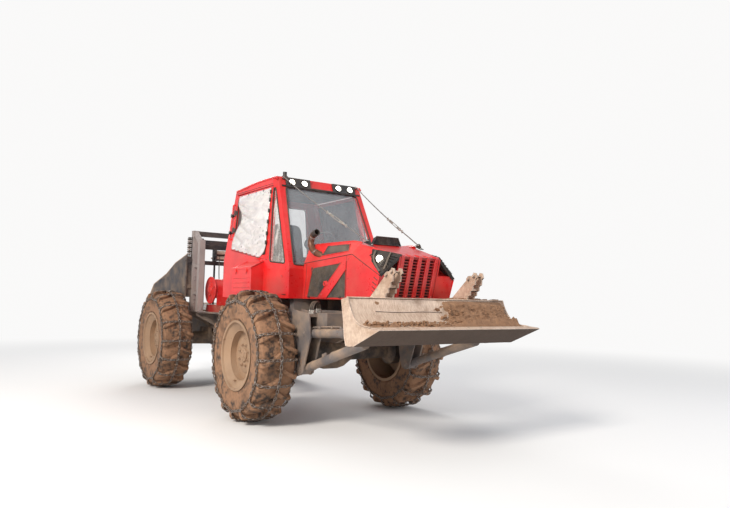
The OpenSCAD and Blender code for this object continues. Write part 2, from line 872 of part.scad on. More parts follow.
// Twin work lamps at the roof's front corners and the beacon
module roof_lamps() {
    lamp_x = -352;
    lamp_z = cab_top_z - 64;
    lamp_low = cab_top_z - 152;
    color("black") from_front_axle() {
        both_sides() difference() {
            block([lamp_x + 12, 175, lamp_low], [lamp_x + 62, 535, cab_top_z - 4]);
            for (y = [262, 448]) bar_x(lamp_x + 50, lamp_x + 70, y, lamp_z, 40);
            beyond([cab_x1, 0, sill_z], [roof_front_x, 0, cab_top_z], [cab_x1, 100, sill_z], seat);
            beyond([lamp_x + 75, 0, lamp_low], [lamp_x + 75, 100, lamp_low], [lamp_x + 40, 0, cab_top_z + 1]);
        }
        translate([-406, -500, cab_top_z]) cylinder(h = 22, r = 40);
        translate([-406, -500, cab_top_z]) cylinder(h = 78, r = 26);
    }
}

// A round bar along X
module bar_x(x0, x1, y, z, r) {
    translate([x0, y, z]) rotate([0, 90, 0]) cylinder(h = x1 - x0, r = r);
}

// Tool and battery boxes on the cab's sides, with a sloping lid
module side_boxes() {
    outer = cab_y + 165;
    outline = [[cab_y + seat, 1500], [outer, 1500], [outer, 1800], [cab_y + seat, 1880]];
    color("red") from_front_axle() both_sides() difference() {
        plate_yz(outline, -910, -330);
        translate([0, 0, axle_z]) rotate([90, 0, 0]) cylinder(h = reach, r = wheel_r + 60, center = true);
    }
}

// Riser cables from the roof's front corners to brackets on the hood's sides
riser_r = 8;
turnbuckle_r = 15;
riser_route = [
    [-336, 560, cab_top_z - 16], [-300, 560, cab_top_z - 19], [-60, 553, 2800], [230, 545, 2615], [520, 537, 2440],
    [800, 528, 2290], [810, 528, 2285], [1080, 520, 2160], [1090, 520, 2156], [1320, 516, 2060],
    [1430, 516, 2012], [1460, 516, 2002], [1480 - seat, 516, 2002]
];

module limb_risers() {
    color("black") from_front_axle() both_sides() {
        tube_along(riser_route, [for (i = [0 : 12]) i == 6 || i == 7 ? turnbuckle_r : riser_r], [0, 1, 0]);
        block([1480, hood_y, 1690], [1530, hood_y + 12, 2012]);
    }
}

// Hydraulic hoses that loop from the side box's top to the cap plate over the cheeks
hose_r = 11;
cap_z = 1262;
hose_route = [
    [0, 600, 1275.3], [0, 600, 1310], [8, 606, 1352], [24, 626, 1384], [44, 660, 1398],
    [62, 698, 1388], [74, 726, 1356], [80, 740, 1312], [80, 740, cap_z + seat]
];

module hydraulic_hoses() {
    color("black") from_front_axle() both_sides() for (x = [668, 704, 740])
        tube_along([for (p = hose_route) p + [x, 0, 0]], [for (p = hose_route) hose_r], [1, 0, 0]);
}

// Blade, held up at rest; its section lists points (x, z)

blade_top = [[1860, 1434], [1946, 1448]];
blade_front = [[1946, 1448], [2030, 1200], [2231, 1186]];
blade_back = [[1912, 1440], [1996, 1176], [2225, 1186 - blade_t]];
blade_tip = [blade_tip_x, 1166];
blade_heel = [2072, 1001];
blade_low = [1940, 1001];
box_low = [1850, 1001];
box_high = [1985, 1131];
box_wall = 16;
rib_t = 20;
rod_ear_t = 15;
rod_ear_gap = 52;
box_y = arm_y + 90;
lift_blade_pin = [1800, 1105];
arm_end = [box_low[0], 1013];
arc_steps = 8;

// Points along a curve from the first to the third of three points, drawn towards the second
function bow(p, steps) = [for (i = [0 : steps]) let (t = i / steps)
    (1 - t) * (1 - t) * p[0] + 2 * t * (1 - t) * p[1] + t * t * p[2]];
function reversed(list) = [for (i = [len(list) - 1 : -1 : 0]) list[i]];

module blade_rib(y, t) {
    outline = concat([blade_top[0]], bow(blade_front, arc_steps), [blade_tip, blade_heel, blade_low]);
    plate_xz(outline, y - t / 2, y + t / 2);
}

module blade() {
    lip_back = [blade_tip[0] - 90, blade_tip[1] - 26];
    floor_t = 25;
    color("rosybrown") from_front_axle() {
        // Curved plate, lip, floor and top stiffener
        plate_xz(concat(bow(blade_front, arc_steps), reversed(bow(blade_back, arc_steps))), -blade_y, blade_y);
        plate_xz([blade_back[2], blade_front[2], blade_tip, lip_back], -blade_y, blade_y);
        plate_xz([
            blade_tip, blade_heel, blade_low, blade_low + [0, floor_t],
            blade_heel + [-8, floor_t], lip_back
        ], -blade_y, blade_y);
        plate_xz([blade_top[0], blade_top[1], [1962, 1398], [1905, 1388]], -blade_y, blade_y);
        for (y = [-blade_y + 10, -arm_y + 60, -250, 250, arm_y - 60, blade_y - 10]) blade_rib(y, rib_t);
        // Hollow cross box behind the plate
        difference() {
            block([box_low[0], -box_y, box_low[1]], [box_high[0], box_y, box_high[1]]);
            block([box_low[0] + box_wall, -box_y + box_wall, box_low[1] + box_wall],
                  [box_high[0] - box_wall, box_y - box_wall, box_high[1] - box_wall]);
        }
        both_sides() {
            block([box_high[0] - 40, arm_y - 46, box_low[1] + 25], [box_high[0] + 70, arm_y + 46, box_high[1] + 20]);
            // Ears for the lift rod's eye
            for (y = [arm_y - rod_ear_gap / 2 - rod_ear_t, arm_y + rod_ear_gap / 2]) difference() {
                plate_xz([
                    lift_blade_pin + [-20, -36], lift_blade_pin + [51, -36],
                    lift_blade_pin + [51, 26], lift_blade_pin + [0, 38], lift_blade_pin + [-38, 0]
                ], y, y + rod_ear_t);
                bar_y(lift_blade_pin[0], lift_blade_pin[1], y - 1, y + rod_ear_t + 1, lift_pin_r);
            }
        }
    }
}

// Horns: pairs of toothed plates that stand up from the blade's back
horn_plate_t = 16;
horn_gap = 76;

module blade_horns() {
    outline = [
        blade_top[1] + [0, seat], [1960, 1492], [1990, 1500], [1994, 1542], [2026, 1552],
        [2030, 1598], [2062, 1612], [2068, 1668], [2092, 1690], [2076, 1738], [2040, 1744],
        [2018, 1700], [1984, 1712], [1950, 1704], [1930, 1660], [1676, 1440], [1700, 1392],
        [1800, 1390], [1856, 1425], blade_top[0] + [-1, seat]
    ];
    color("rosybrown") from_front_axle() both_sides() {
        for (y = [horn_y - horn_gap / 2 - horn_plate_t, horn_y + horn_gap / 2]) difference() {
            plate_xz(outline, y, y + horn_plate_t);
            bar_y(2048, 1706, y - 1, y + horn_plate_t + 1, 13);
            bar_y(1966, 1676, y - 1, y + horn_plate_t + 1, 13);
        }
        block([1735, horn_y - horn_gap / 2 - 1, 1396], [1765, horn_y + horn_gap / 2 + 1, 1420]);
    }
}

// Push arms from the cheeks' pins to the blade's cross box
module push_arms() {
    a = [arm_pin[0], arm_y, arm_pin[1]];
    b = [arm_end[0] - seat, arm_y, arm_end[1]];
    eye_half = fork_clear - 5.5;
    pin_half = fork_clear + cheek_t;
    color("gray") from_front_axle() both_sides() {
        difference() {
            union() {
                bar(a, b + [20, 0, 0], arm_r);
                bar(a + 0.52 * (b - a), b + [20, 0, 0], arm_r + 4);
                bar_y(a[0], a[2], arm_y - eye_half, arm_y + eye_half, 60);
            }
            block([b[0], arm_y - 100, 900], [b[0] + 100, arm_y + 100, 1200]);
        }
        bar_y(a[0], a[2], arm_y - pin_half, arm_y + pin_half, arm_pin_r);
    }
}

// Lift cylinders, along their own axis from the frame's pin to the blade's pin
lift_len = norm(lift_blade_pin - lift_pin);
lift_turn = atan2(lift_blade_pin[1] - lift_pin[1], lift_blade_pin[0] - lift_pin[0]);
lift_barrel_len = 730;
lift_rod_r = 25;
lift_rod_len = 560;

module along_lift() {
    from_front_axle() translate([lift_pin[0], 0, lift_pin[1]]) rotate([0, -lift_turn, 0]) children();
}

module lift_barrels() {
    hole = lift_rod_len - 30;
    pin_half = fork_clear + cheek_t;
    color("dimgray") along_lift() both_sides() difference() {
        union() {
            bar_y(0, 0, arm_y - fork_clear + 5.5, arm_y + fork_clear - 5.5, lift_r);
            bar_y(0, 0, arm_y - pin_half, arm_y + pin_half, lift_pin_r);
            bar_x(0, lift_barrel_len, arm_y, 0, lift_r);
            bar_x(lift_barrel_len - 60, lift_barrel_len, arm_y, 0, lift_r + 6);
        }
        bar_x(lift_barrel_len - hole, lift_barrel_len + 1, arm_y, 0, lift_rod_r + pin_fit);
    }
}

module lift_rods() {
    eye_half = 20;
    eye_r = 32;
    color("silver") along_lift() both_sides() {
        bar_x(lift_len - lift_rod_len, lift_len - lift_pin_r - 4, arm_y, 0, lift_rod_r);
        difference() {
            bar_y(lift_len, 0, arm_y - eye_half, arm_y + eye_half, eye_r);
            bar_y(lift_len, 0, arm_y - eye_half - 1, arm_y + eye_half + 1, lift_pin_r);
        }
    }
}

// Rear frame with its deck, underpan and towing drawbar

rear_end_x = -4250;
deck_t = 20;
tow_x = -4380;
tow_z = 840;

module rear_rail() {
    top = deck_z - deck_t;
    outline = [
        [cross_rear_x, 720], [-2850, 720], [-2980, rail_z0], [-3550, rail_z0], [-3680, 740],
        [rear_end_x + 50, 740], [rear_end_x, 900], [rear_end_x, top], [cross_rear_x, top]
    ];
    plate_xz(outline, rail_y - rail_t, rail_y);
}

module rear_frame() {
    inner_y = rail_y - rail_t;
    color("gray") from_front_axle() {
        both_sides() {
            rear_rail();
            steer_rod_ears();
            // Outriggers under the tower's posts
            for (x = [front_post_x, main_post_x]) plate_yz([
                [rail_y - 1, 960], [rail_y - 1, deck_z - 1], [post_y + post_w / 2, deck_z - 1],
                [post_y + post_w / 2, deck_z - 60]
            ], x - 10, x + 10);
        }
        block([cross_rear_x - rail_t, -rail_y, cross_z0], [cross_rear_x, rail_y, deck_z - 1]);
        for (z = [yoke_z_low, yoke_z_top])
            yoke_plate(z - tongue_t / 2, z + tongue_t / 2, -yoke_root, pivot_r + pin_fit);
        block([rear_end_x, -600, deck_z - deck_t], [cross_rear_x - 1, 600, deck_z]);
        block([main_post_x - 80, -post_y - post_w / 2, deck_z - deck_t],
              [front_post_x + 80, post_y + post_w / 2, deck_z]);
        block([-2850, -inner_y, 720], [cross_rear_x - 30, inner_y, 732]);
        // Rear plate and drawbar
        block([rear_end_x - 30, -rail_y, 740], [rear_end_x, rail_y, deck_z]);
        difference() {
            union() {
                block([tow_x, -60, tow_z - 20], [rear_end_x, 60, tow_z + 20]);
                translate([tow_x, 0, tow_z - 20]) cylinder(h = 40, r = 60);
                block([rear_end_x - 90, -9, tow_z - 70], [rear_end_x, 9, tow_z + 70]);
            }
            translate([tow_x, 0, tow_z - 80]) cylinder(h = 160, r = tow_r);
        }
    }
}

// Winch: a middle housing on a base, with a drum on each side on one shaft

winch_x = -2830;
winch_z = 1535;
shaft_r = 40;
housing_y = 72;

module winch_housing() {
    base = [[winch_x - 230, deck_z], [winch_x + 230, deck_z], [winch_x + 200, 1306], [winch_x - 200, 1306]];
    tower = [[winch_x - 170, 1300], [winch_x + 170, 1300], [winch_x + 130, 1620], [winch_x + 70, 1730],
             [winch_x - 70, 1730], [winch_x - 130, 1620]];
    color("firebrick") from_front_axle() difference() {
        union() {
            plate_xz(base, -drum_y + 20, drum_y - 20);
            plate_xz(tower, -housing_y, housing_y);
        }
        bar_y(winch_x, winch_z, -housing_y - 1, housing_y + 1, shaft_r + pin_fit);
    }
}

module winch_drum() {
    inner = housing_y + 8;
    half = [
        [0, drum_y], [drum_r, drum_y], [drum_r, drum_y - 15], [110, drum_y - 20],
        [110, inner + 20], [drum_r, inner + 15], [drum_r, inner], [shaft_r, inner]
    ];
    color("indianred") from_front_axle() translate([winch_x, 0, winch_z]) revolved_y(mirrored(half));
}

// Tower: posts on the deck, cross beams and braces that guard the winch and guide its ropes

main_post_x = -3200;
front_post_x = -2900;
front_post_z = tower_z - 160;

module tower() {
    half = post_w / 2;
    color("slategray") from_front_axle() {
        both_sides() {
            block([main_post_x - half, post_y - half, deck_z], [main_post_x + half, post_y + half, tower_z]);
            block([front_post_x - half, post_y - half, deck_z], [front_post_x + half, post_y + half, front_post_z]);
            plate_xz([
                [front_post_x - half, front_post_z - 80], [front_post_x - half, front_post_z],
                [main_post_x + half, tower_z], [main_post_x + half, tower_z - 80]
            ], post_y - half + 10, post_y + half - 10);
            for (z = [1460, 1900]) block([main_post_x, post_y - 15, z], [front_post_x, post_y + 15, z + 50]);
        }
        for (beam = beam_heights)
            block([main_post_x - beam[2], -post_y, beam[0]], [main_post_x + beam[2], post_y, beam[1]]);
        block([front_post_x - 30, -post_y, front_post_z - 70], [front_post_x + 30, post_y, front_post_z - 5]);
        // Bearing plates of the rollers
        both_sides() block([main_post_x - 70, bearing_y, beam_heights[2][1] - 1],
                           [main_post_x + 90, bearing_y + 16, beam_heights[1][0] + 1]);
    }
}

// Cross beams: underside, top and half depth
beam_heights = [[tower_z - 80, tower_z, 40], [2215, 2290, 42], [1955, 2020, 36]];
roller_half = 300;
bearing_y = roller_half + 4;

module tower_rollers() {
    x = main_post_x + 20;
    color("dimgray") from_front_axle() {
        for (z = [2075, 2160]) {
            bar_y(x + (z - 2075) * 0.1, z, seat * 2 - roller_half, roller_half - seat * 2, roller_r - 6);
            bar_y(x + (z - 2075) * 0.1, z, seat - bearing_y, bearing_y - seat, 14);
        }
    }
}

// Rear shield: side cheeks that flare out behind the wheels, a floor, a slanting back and a butt plate

module rear_shield() {
    wide = 900;
    near = cab_y;
    flare_x = -4150;
    outline = [
        [-3160, 1420], [-3160, 2110], [-3700, 1990], [-4620, 1637], [-shield_x, 1400],
        [-4700, 1300], [-4310, deck_z], [-3300, deck_z], [-3300, 1420]
    ];
    plan = [
        [-3160, near - shield_t], [flare_x, near - shield_t], [-shield_x, wide - shield_t],
        [-shield_x, wide], [flare_x, near], [-3160, near]
    ];
    color("slategray") from_front_axle() {
        both_sides() {
            intersection() {
                plate_xz(outline, near - 100, wide + 1);
                translate([0, 0, 1000]) linear_extrude(1400) polygon(plan);
            }
            // Spacers that hold the cheek to the tower's main post
            for (z = [1560, 1980])
                block([main_post_x - 30, post_y + post_w / 2, z], [main_post_x + 30, near - shield_t + 1, z + 60]);
        }
        block([-4310, -near + 1, deck_z], [-3300, near - 1, deck_z + shield_t]);
        plate_xz([
            [-4310, deck_z], [-4700, 1300], [-4712, 1318], [-4310, deck_z + shield_t]
        ], -near - 20, near + 20);
        difference() {
            block([rear_end_x - 50, -near + 1, 700], [rear_end_x - 30, near - 1, deck_z + 1]);
            block([rear_end_x - 60, -80, tow_z - 80], [rear_end_x - 20, 80, tow_z + 80]);
        }
    }
}

front_frame();
front_yoke();
engine_block();
hood_shell();
hood_screens();
front_grille();
headlights();
exhaust_pipe();
cab_shell();
cab_roof();
cab_windows();
driver_seat();
driver_controls();
roof_lamps();
side_boxes();
front_axle();
limb_risers();
hydraulic_hoses();
articulation_pins();
blade();
blade_horns();
push_arms();
lift_barrels();
lift_rods();
steer_barrel(1);  // steer_barrel_left
steer_barrel(-1);  // steer_barrel_right
steer_rod(1);  // steer_rod_left
steer_rod(-1);  // steer_rod_right
door(1);  // door_left
door(-1);  // door_right
door_pane(1);  // door_pane_left
door_pane(-1);  // door_pane_right
rear_frame();
rear_axle();
tower();
tower_rollers();
winch_housing();
winch_drum();
rear_shield();
tyre(1, 1);  // tyre_front_left
tyre(1, -1);  // tyre_front_right
tyre(-1, 1);  // tyre_rear_left
tyre(-1, -1);  // tyre_rear_right
rim(1, 1);  // rim_front_left
rim(1, -1);  // rim_front_right
rim(-1, 1);  // rim_rear_left
rim(-1, -1);  // rim_rear_right
chain(1, 1);  // chain_front_left
chain(1, -1);  // chain_front_right
chain(-1, 1);  // chain_rear_left
chain(-1, -1);  // chain_rear_right
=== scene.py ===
"""Looks of the articulated cable skidder, round its CAD frame. Metres, +X forward, +Y left, +Z up."""

import json
import math
import random

import bmesh
import bpy
from mathutils import Matrix, Vector, noise


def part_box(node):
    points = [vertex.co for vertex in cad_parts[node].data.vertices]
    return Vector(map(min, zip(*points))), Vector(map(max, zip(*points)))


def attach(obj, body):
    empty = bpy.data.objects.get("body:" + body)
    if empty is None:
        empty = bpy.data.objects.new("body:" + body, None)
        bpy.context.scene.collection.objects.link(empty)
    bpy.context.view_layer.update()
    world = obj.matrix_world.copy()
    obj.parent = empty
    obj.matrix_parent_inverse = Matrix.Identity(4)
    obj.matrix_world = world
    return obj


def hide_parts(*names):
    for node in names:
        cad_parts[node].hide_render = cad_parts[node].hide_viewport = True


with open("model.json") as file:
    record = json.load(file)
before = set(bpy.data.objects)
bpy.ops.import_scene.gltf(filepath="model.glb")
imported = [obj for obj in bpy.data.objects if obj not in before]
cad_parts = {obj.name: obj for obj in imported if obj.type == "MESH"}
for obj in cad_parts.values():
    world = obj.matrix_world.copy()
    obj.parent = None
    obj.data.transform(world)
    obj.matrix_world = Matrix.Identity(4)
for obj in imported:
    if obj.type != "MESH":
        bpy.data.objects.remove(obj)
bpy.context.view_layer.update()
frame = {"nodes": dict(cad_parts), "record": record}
NODES = frame["nodes"]

# Camera of the photograph, in the row frame
CAMERA_PLACE = (7.9859, -4.2786, 1.4248)
CAMERA_YAW = 2.5285
CAMERA_PITCH = 0.0739
CAMERA_ROLL = 0.0216
CAMERA_LENS_MM = 30.93
SENSOR_MM = 36

# The middle of the front axle and of the rear axle
AXLE_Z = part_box("rim_front_left")[0].lerp(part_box("rim_front_left")[1], 0.5).z
FRONT_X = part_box("rim_front_left")[0].lerp(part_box("rim_front_left")[1], 0.5).x
REAR_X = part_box("rim_rear_left")[0].lerp(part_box("rim_rear_left")[1], 0.5).x
HALF_TRACK = 1.0695


def at(x, y, z):
    """A point given in millimetres from the front axle's middle, on the ground, as part.scad has it."""
    return Vector((x / 1000 + FRONT_X, y / 1000, z / 1000))


def srgb(red, green, blue):
    """The linear colour of an 8-bit one."""
    linear = []
    for value in (red, green, blue):
        c = value / 255
        linear.append(c / 12.92 if c <= 0.04045 else ((c + 0.055) / 1.055) ** 2.4)
    return (*linear, 1)


# Node trees, camera, floor and light


class Tree:
    """A node tree, with short calls for the nodes that the world, the floor and the finishes share."""

    def __init__(self, tree):
        self.tree = tree

    def put(self, value, socket):
        """Sets a socket to a number or colour, or links another node's output to it."""
        if isinstance(value, (int, float, tuple)):
            socket.default_value = value
        else:
            self.tree.links.new(value, socket)

    def node(self, kind, output, inputs=None, **settings):
        """The output of a new node, whose inputs are numbers, colours or other nodes' outputs."""
        node = self.tree.nodes.new("ShaderNode" + kind)
        for name, value in settings.items():
            setattr(node, name, value)
        for name, value in (inputs or {}).items():
            self.put(value, node.inputs[name])
        return node.outputs[output]

    def math(self, operation, a, b=0.0):
        return self.node("Math", 0, {0: a, 1: b}, operation=operation)

    def plus(self, a, b):
        return self.math("ADD", a, b)

    def times(self, a, b):
        return self.math("MULTIPLY", a, b)

    def step(self, value, low, high, from_value=0.0, to_value=1.0):
        """value mapped smoothly from low..high to from_value..to_value."""
        ends = {"Value": value, "From Min": low, "From Max": high, "To Min": from_value, "To Max": to_value}
        return self.node("MapRange", "Result", ends, interpolation_type="SMOOTHSTEP")


class Nodes(Tree):
    """A material's node tree. Its places are those of the machine's own frame."""

    def __init__(self, name):
        self.material = bpy.data.materials.new(name)
        self.material.use_nodes = True
        super().__init__(self.material.node_tree)
        self.shader = self.tree.nodes["Principled BSDF"]
        self.place = self.node("TexCoord", "Object")

    def set(self, **sockets):
        """Sets the shader's sockets. An underscore stands for a space."""
        for name, value in sockets.items():
            self.put(value, self.shader.inputs[name.replace("_", " ")])

    def scaled(self, sizes):
        return self.node("Mapping", 0, {"Vector": self.place, "Scale": sizes})

    def noise(self, scale, detail=4, roughness=0.55, vector=None, distortion=0.0):
        inputs = {"Vector": vector or self.place, "Scale": scale, "Detail": detail}
        return self.node("TexNoise", "Fac", {**inputs, "Roughness": roughness, "Distortion": distortion})

    def cells(self, scale):
        return self.node("TexVoronoi", "Distance", {"Vector": self.place, "Scale": scale})

    def mix(self, fac, a, b):
        return self.node("Mix", "Result", {"Factor": fac, "A": a, "B": b}, data_type="RGBA")

    def part_of(self, vector, axis):
        return self.node("SeparateXYZ", axis, {0: vector})

    def upward(self):
        """How far a surface faces up, from -1 to 1."""
        return self.part_of(self.node("NewGeometry", "Normal"), "Z")

    def rounding(self, radius):
        return self.node("Bevel", "Normal", {"Radius": radius}, samples=4)

    def edges(self, radius):
        """1 along sharp edges, 0 on flat faces."""
        normals = {0: self.rounding(radius), 1: self.node("NewGeometry", "Normal")}
        likeness = self.node("VectorMath", "Value", normals, operation="DOT_PRODUCT")
        return self.step(likeness, 0.75, 0.99, 1.0, 0.0)

    def bump(self, height, distance, strength=1.0, normal=None):
        inputs = {"Strength": strength, "Distance": distance, "Height": height}
        if normal:
            inputs["Normal"] = normal
        return self.node("Bump", "Normal", inputs)


def add_camera():
    yaw, pitch, roll = CAMERA_YAW, CAMERA_PITCH, CAMERA_ROLL
    forward = Vector((math.cos(yaw) * math.cos(pitch), math.sin(yaw) * math.cos(pitch), math.sin(pitch)))
    right = Vector((math.sin(yaw), -math.cos(yaw), 0))
    up = right.cross(forward)
    tilted_right = math.cos(roll) * right + math.sin(roll) * up
    tilted_up = -math.sin(roll) * right + math.cos(roll) * up
    data = bpy.data.cameras.new("camera")
    data.lens = CAMERA_LENS_MM
    data.sensor_width = SENSOR_MM
    data.clip_end = 500
    camera = bpy.data.objects.new("camera", data)
    matrix = Matrix((tilted_right, tilted_up, -forward)).transposed().to_4x4()
    matrix.translation = Vector(CAMERA_PLACE)
    camera.matrix_world = matrix
    bpy.context.scene.collection.objects.link(camera)
    bpy.context.scene.camera = camera


def add_area_light(name, place, aim, size, power, colour):
    data = bpy.data.lights.new(name, "AREA")
    data.shape = "DISK"
    data.size = size
    data.energy = power
    data.color = colour
    lamp = bpy.data.objects.new(name, data)
    lamp.location = place
    lamp.rotation_euler = (Vector(aim) - Vector(place)).to_track_quat("-Z", "Y").to_euler()
    bpy.context.scene.collection.objects.link(lamp)


def add_world():
    """An even sky, which the camera and rays through glass see as white."""
    world = bpy.data.worlds.new("studio")
    world.use_nodes = True
    world.node_tree.nodes.clear()
    n = Tree(world.node_tree)
    seen = n.math("MAXIMUM", n.node("LightPath", "Is Camera Ray"), n.node("LightPath", "Is Transmission Ray"))
    sky = n.node("Background", 0, {"Color": SKY, "Strength": SKY_STRENGTH})
    white = n.node("Background", 0, {"Color": BACKDROP_WHITE})
    out = n.tree.nodes.new("ShaderNodeOutputWorld")
    n.put(n.node("MixShader", 0, {"Fac": seen, 1: sky, 2: white}), out.inputs["Surface"])
    bpy.context.scene.world = world


def add_floor():
    """A pale floor that turns into the backdrop's white far from the machine. It lights nothing."""
    bpy.ops.mesh.primitive_plane_add(size=160, location=(0, 0, -0.002))
    floor = bpy.context.object
    floor.name = "floor"
    n = Nodes("floor_pale")
    n.set(Base_Color=(0.80, 0.79, 0.78, 1), Roughness=0.9)
    away = n.node("VectorMath", "Value", {0: n.node("NewGeometry", "Position")}, operation="LENGTH")
    seen = n.times(n.step(away, FADE_START, FADE_END), n.node("LightPath", "Is Camera Ray"))
    white = n.node("Emission", 0, {"Color": BACKDROP_WHITE})
    mixed = n.node("MixShader", 0, {"Fac": seen, 1: n.shader.outputs["BSDF"], 2: white})
    n.put(mixed, n.tree.nodes["Material Output"].inputs["Surface"])
    floor.data.materials.append(n.material)


def add_studio():
    add_world()
    add_floor()
    scene_middle = (0.6, 0, 1.2)
    add_area_light("key", (5.2, -9.6, 7.8), scene_middle, 3.5, 1450, (1.0, 0.95, 0.88))
    add_area_light("fill", (9.0, 6.0, 5.0), scene_middle, 6.0, 240, (0.93, 0.96, 1.0))
    add_area_light("back", (-8.0, 3.0, 7.0), scene_middle, 5.0, 420, (1.0, 0.98, 0.95))
    bpy.context.scene.view_settings.view_transform = "Standard"


BACKDROP_WHITE = (0.955, 0.95, 0.945, 1)
SKY = (0.92, 0.95, 1.0, 1)
SKY_STRENGTH = 0.62
FADE_START, FADE_END = 5.0, 15.0
add_camera()
add_studio()


# Materials

DUST = srgb(168, 142, 118)
DRY_MUD = srgb(158, 120, 90)
WET_MUD = srgb(84, 60, 44)
BARE_STEEL = srgb(150, 144, 140)
RUST = srgb(112, 62, 38)


def painted(name, colour, roughness=0.38, dust=0.35, mud=0.5, wear=0.5, mud_top=1.6, metallic=0.0, coat=0.0,
            middle=None):
    """Old paint with worn edges, dust and splashes of dried mud that thin out towards mud_top.

    middle is another colour for what lies less than 0.6 m from the machine's middle plane.
    """
    n = Nodes(name)
    dull = tuple(0.72 * c for c in colour[:3]) + (1,)
    patches = n.step(n.noise(2.1, 5), 0.3, 0.7)
    paint = n.mix(patches, colour, dull)
    if middle:
        paint = n.mix(n.step(n.math("ABSOLUTE", n.part_of(n.place, "Y")), 0.6, 0.602), middle, paint)
    scratches = n.step(n.noise(9, 8, 0.7, n.scaled((1, 1, 6))), 0.62, 0.72, 0.0, 0.35)
    faded = tuple(0.6 * c + 0.16 for c in colour[:3]) + (1,)
    paint = n.mix(scratches, paint, faded)
    worn = n.times(n.edges(0.006), n.step(n.noise(14, 6, 0.7), 0.45, 0.62, 0.0, wear))
    paint = n.mix(worn, paint, BARE_STEEL)
    low = n.step(n.part_of(n.place, "Z"), 0.5, mud_top, 1.0, 0.12)
    dusty = n.step(n.noise(3.6, 9, 0.66), 0.34, 0.72, 0.0, dust)
    settled = n.step(n.upward(), 0.1, 0.9, 1.0, 1.7)
    dusty = n.times(n.times(dusty, settled), n.step(low, 0.0, 1.0, 0.45, 1.25))
    paint = n.mix(n.math("MINIMUM", dusty, 0.85), paint, DUST)
    splash = n.plus(n.noise(26, 7, 0.62), n.times(n.noise(4, 3), 0.55))
    splash = n.step(splash, 0.93, 0.99)
    splash = n.times(splash, n.times(low, mud))
    paint = n.mix(splash, paint, n.mix(n.noise(60, 3), DRY_MUD, WET_MUD))
    n.set(Base_Color=paint)
    rough = n.plus(n.times(dusty, 0.5), n.times(splash, 0.4))
    n.set(Roughness=n.plus(rough, n.step(n.noise(30, 5), 0.2, 0.8, roughness - 0.06, roughness + 0.08)))
    n.set(Metallic=metallic, Coat_Weight=coat, Coat_Roughness=0.2)
    ripple = n.plus(n.times(n.noise(160, 2), 0.04), splash)
    n.set(Normal=n.bump(ripple, 0.003, 0.6, n.rounding(0.003)))
    return n.material


def muddy_rubber():
    """Black rubber that dry mud covers except in patches."""
    n = Nodes("muddy_rubber")
    rubber = n.mix(n.noise(7, 5), srgb(38, 32, 28), srgb(62, 50, 42))
    cake = n.plus(n.noise(5.5, 9, 0.68), n.times(n.noise(22, 6), 0.4))
    cake = n.step(cake, 0.48, 0.74)
    mud = n.mix(n.noise(34, 6, 0.7), srgb(116, 84, 62), srgb(168, 128, 98))
    mud = n.mix(n.step(n.noise(3.1, 4), 0.5, 0.75, 0.0, 0.8), mud, srgb(80, 57, 42))
    n.set(Base_Color=n.mix(cake, rubber, mud), Roughness=n.step(cake, 0.0, 1.0, 0.66, 0.95))
    crumbs = n.plus(n.times(n.noise(90, 5, 0.7), 0.4), cake)
    n.set(Normal=n.bump(crumbs, 0.006, 0.8, n.rounding(0.004)))
    return n.material


def worn_steel(name, bright, dark, rust=0.3, mud=0.5, scale=1.0, metallic=0.75, below=0.0):
    """Bare steel rubbed bright, with rust in the lows, smears of earth and painted shade, dark brown, on the
    faces that point down.
    """
    n = Nodes(name)
    grain = n.noise(16 * scale, 9, 0.72, n.scaled((1, 5, 1)))
    steel = n.mix(n.step(grain, 0.3, 0.7), dark, bright)
    spots = n.step(n.noise(6 * scale, 8, 0.7), 0.5, 0.66, 0.0, rust)
    steel = n.mix(spots, steel, RUST)
    steel = n.mix(n.times(n.edges(0.008), 0.8), steel, srgb(206, 200, 196))
    earth = n.step(n.noise(2.7 * scale, 9, 0.7), 0.47, 0.64, 0.0, mud)
    # Faces that point down go dark brown: painted shade, as strong as below sets
    underside_shade = n.step(n.plus(n.upward(), n.times(n.noise(7, 6), -0.35)), -0.72, -0.42, below, 0.0)
    steel = n.mix(earth, steel, n.mix(n.noise(45, 5), DRY_MUD, WET_MUD))
    steel = n.mix(underside_shade, steel, n.mix(n.noise(30, 6, 0.7), srgb(36, 26, 20), srgb(74, 53, 39)))
    n.set(Base_Color=steel)
    covered = n.math("MAXIMUM", n.math("MAXIMUM", spots, earth), underside_shade)
    n.set(Metallic=n.step(covered, 0.0, 1.0, metallic, 0.0))
    n.set(Roughness=n.step(n.plus(covered, n.times(grain, 0.5)), 0.0, 1.0, 0.36, 0.9))
    n.set(Normal=n.bump(n.plus(n.times(grain, 0.2), earth), 0.004, 0.6, n.rounding(0.004)))
    return n.material


def plain(name, colour, roughness, metallic=0.0, grain=220, spread=0.25, dust=0.3):
    """A moulded or machined finish with a fine grain and a film of dust."""
    n = Nodes(name)
    light = tuple(min(1.0, c * (1 + spread)) for c in colour[:3]) + (1,)
    base = n.mix(n.step(n.noise(12, 5), 0.35, 0.65), colour, light)
    film = n.times(n.step(n.noise(5, 8, 0.66), 0.4, 0.75, 0.1, dust), n.step(n.upward(), -0.2, 0.9, 0.5, 1.4))
    n.set(Base_Color=n.mix(film, base, DUST), Roughness=n.plus(n.times(film, 0.4), roughness))
    n.set(Metallic=metallic, Normal=n.bump(n.noise(grain, 3), 0.0006, 0.5, n.rounding(0.002)))
    return n.material


def glass(name, tint, dirt):
    """A dusty pane: clear, with streaks that run down."""
    n = Nodes(name)
    streaks = n.noise(9, 7, 0.65, n.scaled((1, 1, 0.35)))
    film = n.step(streaks, 0.42, 0.72, 0.04, dirt)
    n.set(Base_Color=n.mix(film, tint, srgb(206, 200, 194)))
    n.set(Roughness=n.step(film, 0.0, 1.0, 0.03, 0.6), Alpha=n.step(film, 0.0, 1.0, 0.16, 0.95))
    n.set(IOR=1.45)
    n.material.surface_render_method = "BLENDED"
    return n.material


